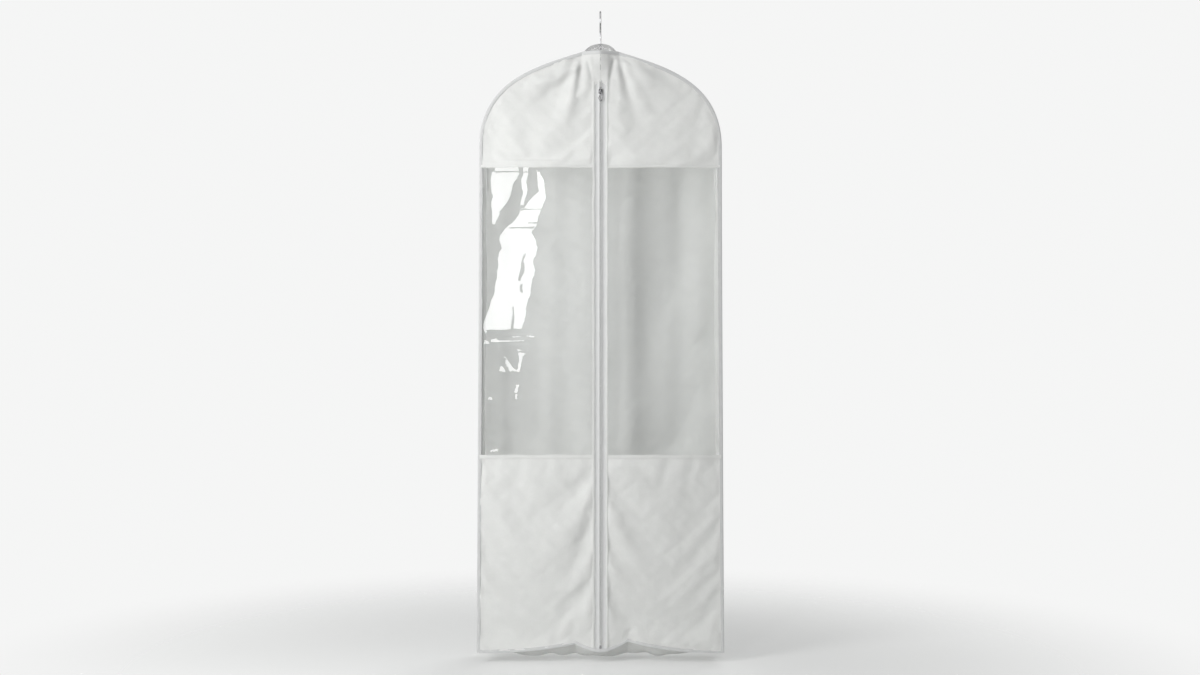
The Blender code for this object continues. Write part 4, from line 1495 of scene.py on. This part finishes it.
make_stops()
make_slider()
make_pull()
print("zip made")


# %% [markdown]
# ## Neck cap, hook and hanger
# A clear cap closes the neck, with a small hole that the hook passes through. It is a
# dome both ways, drawn from the hole outwards so that the hole stays round, and its
# cut edges are welded into a thin round bead. The hook is one bent wire.

# %% The neck cap
CAP_LOW, CAP_HIGH = span("neck_cap")
CAP_FLAT = (0.110, 0.115)
HOLE = 0.0045


def cap_dome(share, turn):
    """A point of the dome: 0 at the rim of the hole and 1 at the base, at a turn round it."""
    c, s = np.cos(turn), np.sin(turn)
    reach = np.maximum(np.abs(c), np.abs(s))
    half = (CAP_HIGH - CAP_LOW)[:2] / 2
    hole = HOLE / (half * math.pi / 2)
    u = (1 - share) * hole[0] * c + share * c / reach
    v = (1 - share) * hole[1] * s + share * s / reach
    across, along = u * math.pi / 2, v * math.pi / 2
    z = CAP_LOW[2] + (CAP_HIGH - CAP_LOW)[2] * np.cos(across) * np.cos(along)
    return np.stack([half[0] * np.sin(across), half[1] * np.sin(along), z], -1)


def make_bead(name, path, radius, material):
    """A round bead along a closed path."""
    run = unit(np.roll(path, -1, 0) - np.roll(path, 1, 0))
    out = square_to(run, every_row((0, 0, 1), len(path)))
    points = sweep(path, np.cross(run, out), out, ring_section(radius, radius, 12, 1.0))
    return gather(name, [ring_shape(points)], material)


def make_cap():
    """The dome as a ring of film from hole to base, with a bead round each edge."""
    share = np.linspace(0.0, 1.0, 40)[:, None] ** 0.8
    turn = np.linspace(0.0, 2 * math.pi, 120, endpoint=False)[None, :] + math.pi / 120
    points = cap_dome(share, turn)
    ripple = ripples(points[..., 0], points[..., 1], 0.03, 171)
    points[..., 2] += 0.0005 * ripple * np.sin(math.pi * share)
    cap = sheet("clear_cap", points, points[..., :2].copy(), FILM_THICK, CAP_FILM, wrap=True)
    fix_to(cap, "bag", "vinyl", "neck_cap")
    SHEETS.append((cap.name, *CAP_FLAT))
    for name, share, count, radius in (("hole", 0.0, 60, 0.0007), ("base", 1.0, 240, 0.0006)):
        turn = np.linspace(0.0, 2 * math.pi, count, endpoint=False)
        bead = make_bead(f"cap_{name}_bead", cap_dome(np.full(count, share), turn), radius, BEAD_FILM)
        fix_to(bead, "bag", "vinyl")


make_cap()


# %% The hook
WIRE = 0.002
HOOK_START = math.radians(235)
HOOK_TIP = math.radians(5)
SHANK_RISE = 1.526


def bezier(points, steps):
    """A cubic curve through its first and last points, led by the two between."""
    t = np.linspace(0.0, 1.0, steps)[:, None]
    a, b, c, d = (np.array(p) for p in points)
    return (1 - t) ** 3 * a + 3 * (1 - t) ** 2 * t * b + 3 * (1 - t) * t**2 * c + t**3 * d


def make_hook():
    """A wire from its head in the hanger, up its shank, out to one side and round."""
    low, high = span("hanger_hook")
    radius = high[1] - WIRE
    centre = high[2] - WIRE - radius
    turn = np.linspace(HOOK_START, HOOK_TIP, 90)
    circle = np.column_stack([radius * np.cos(turn), centre + radius * np.sin(turn)])
    run = np.array([math.sin(HOOK_START), -math.cos(HOOK_START)])
    shank_top = up(SHANK_RISE)
    bend = bezier([(0, shank_top), (0, shank_top + 0.013), circle[0] - 0.012 * run, circle[0]], 30)
    shank = np.column_stack([np.zeros(12), np.linspace(low[2] + 0.001, shank_top, 12)])
    line = np.vstack([shank, bend[1:], circle[1:]])
    path = np.column_stack([np.zeros(len(line)), line])
    run = run_of(path)
    across = every_row((1, 0, 0), len(path))
    to_tip = np.clip((length_along(path)[-1] - length_along(path)) / WIRE, 0.0, 1.0)
    girth = np.sqrt(np.clip(1 - (1 - to_tip) ** 2, 0.02, 1))[:, None, None]
    section = ring_section(WIRE, WIRE, 20, 1.0)[None] * girth
    head = moved(pebble((0.008, 0.008, 0.002), 0.5), (0, 0, low[2] + 0.001))
    shapes = [swept_shape(sweep(path, across, np.cross(run, across), section)), head]
    hook = gather("wire_hook", shapes, CHROME)
    fix_to(hook, "hook", "hook_wire", "hanger_hook")


make_hook()


# %% Frame pieces that stay
def refinish(node, material):
    """Give a frame node, which keeps its shape, one of the finishes above."""
    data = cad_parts[node].data
    data.materials.clear()
    data.materials.append(material)


for node, material in {
    "hanger_body": HANGER,
    "hook_washer": NICKEL,
    "shoulder_stay_front": STAY,
    "shoulder_stay_back": STAY,
}.items():
    refinish(node, material)
print("hook and hanger made")


# %% [markdown]
# ## Stage, light and camera
# The floor lies just under the bag and fades out around it, so that there is no edge
# from any side; a faint glow of its own keeps it pale. One softbox stands in front and
# to the left: it is what the film shines back. A taller, nearer panel further left
# shades the cloth's folds, a wide dim one hangs overhead, and one behind lights the
# back and is hidden from the camera, from mirror-like surfaces and from clear ones.

# %% The floor
FLOOR_DROP = 0.006
FLOOR_FADE = (0.4, 1.7)


def make_floor():
    """A round pale floor whose edge fades away."""
    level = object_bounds()[0].z - FLOOR_DROP
    radius, rings, columns = 3.2, 24, 96
    r = np.linspace(0.0, 1.0, rings + 1)[1:, None] ** 1.5 * radius
    c, s = full_turn(columns)
    points = np.stack([r * c, r * s, 0 * r * c + level], -1).reshape(-1, 3)
    points = np.vstack([points, [[0, 0, level]]])
    faces = [tuple(face[::-1]) for face in grid_faces(rings, columns, wrap=True)]
    faces += [(len(points) - 1, k, (k + 1) % columns) for k in range(columns)]
    material, tree, shader, places = new_finish("pale_floor", 0.85)
    drift = noise(tree, places["Object"], 1.3, 3.0)
    colour = tint(tree, drift, (0.52, 0.525, 0.52), (0.56, 0.565, 0.56))
    tree.links.new(colour, shader.inputs["Base Color"])
    lay_flat = {0: places["Object"], 1: (1, 1, 0)}
    flat = add_node(tree, "ShaderNodeVectorMath", lay_flat, operation="MULTIPLY")
    away = add_node(tree, "ShaderNodeVectorMath", {0: flat.outputs[0]}, operation="LENGTH")
    ends = {"From Min": FLOOR_FADE[0], "From Max": FLOOR_FADE[1], "To Min": 1.0, "To Max": 0.0}
    ends["Value"] = away.outputs["Value"]
    fade = add_node(tree, "ShaderNodeMapRange", ends, interpolation_type="SMOOTHSTEP")
    tree.links.new(fade.outputs["Result"], shader.inputs["Alpha"])
    shader.inputs["Emission Color"].default_value = (0.97, 0.98, 0.97, 1.0)
    shader.inputs["Emission Strength"].default_value = 0.18
    new_object("floor", points, faces, points[:, :2], material)


make_floor()


# %% Light
def make_panel_light(name, place, aim, size, radiance):
    """A softbox: its power is its radiance over its area, times pi."""
    light = bpy.data.lights.new(name, "AREA")
    light.shape = "RECTANGLE"
    light.size, light.size_y = size
    light.energy = radiance * size[0] * size[1] * math.pi
    lamp = bpy.data.objects.new(name, light)
    bpy.context.scene.collection.objects.link(lamp)
    lamp.location = place
    lamp.rotation_euler = (Vector(aim) - Vector(place)).to_track_quat("-Z", "Y").to_euler()
    return lamp


# Each light: its place, what it aims at, its size and its radiance.
MIDDLE = up(0.80)
LIGHTS = {
    "softbox": ((-1.08, -3.5, up(1.35)), (-0.2, 0.0, up(1.1)), (0.52, 1.5), 8.0),
    "side_panel": ((-1.3, -1.25, up(1.2)), (0.0, 0.0, MIDDLE), (0.7, 1.8), 8.6),
    "top_panel": ((0.2, -0.9, up(3.1)), (0.0, -0.2, HEM), (4.0, 3.4), 0.7),
    "back_panel": ((1.1, 2.3, up(2.7)), (0.0, 0.0, MIDDLE), (2.2, 2.0), 4.2),
}
LAMPS = {name: make_panel_light(name, *light) for name, light in LIGHTS.items()}
for rays in ("visible_camera", "visible_glossy", "visible_transmission"):
    setattr(LAMPS["back_panel"], rays, False)


def make_world():
    """A pale room: what the camera sees behind the bag, and a dimmer light from all round."""
    world = bpy.data.worlds.new("pale_room")
    bpy.context.scene.world = world
    world.use_nodes = True
    tree = world.node_tree
    tree.nodes.clear()
    seen, fill = (
        add_node(tree, "ShaderNodeBackground", {"Color": colour, "Strength": strength})
        for colour, strength in (((0.914, 0.917, 0.914, 1.0), 1.0), ((0.98, 0.99, 1.0, 1.0), 0.17))
    )
    rays = add_node(tree, "ShaderNodeLightPath")
    ends = {0: rays.outputs["Is Camera Ray"], 1: fill.outputs[0], 2: seen.outputs[0]}
    mixed = add_node(tree, "ShaderNodeMixShader", ends)
    add_node(tree, "ShaderNodeOutputWorld", {"Surface": mixed.outputs[0]})


make_world()
bpy.context.scene.view_settings.view_transform = "Standard"


# %% Camera
def make_camera():
    """A camera four metres in front of the bag, level with its middle."""
    camera = bpy.data.cameras.new("camera")
    camera.lens = 48.55
    holder = bpy.data.objects.new("camera", camera)
    bpy.context.scene.collection.objects.link(holder)
    holder.location = (-0.001, FRONT - 4.0, up(0.78))
    holder.rotation_euler = (math.pi / 2, 0.0, 0.0)
    bpy.context.scene.camera = holder


make_camera()
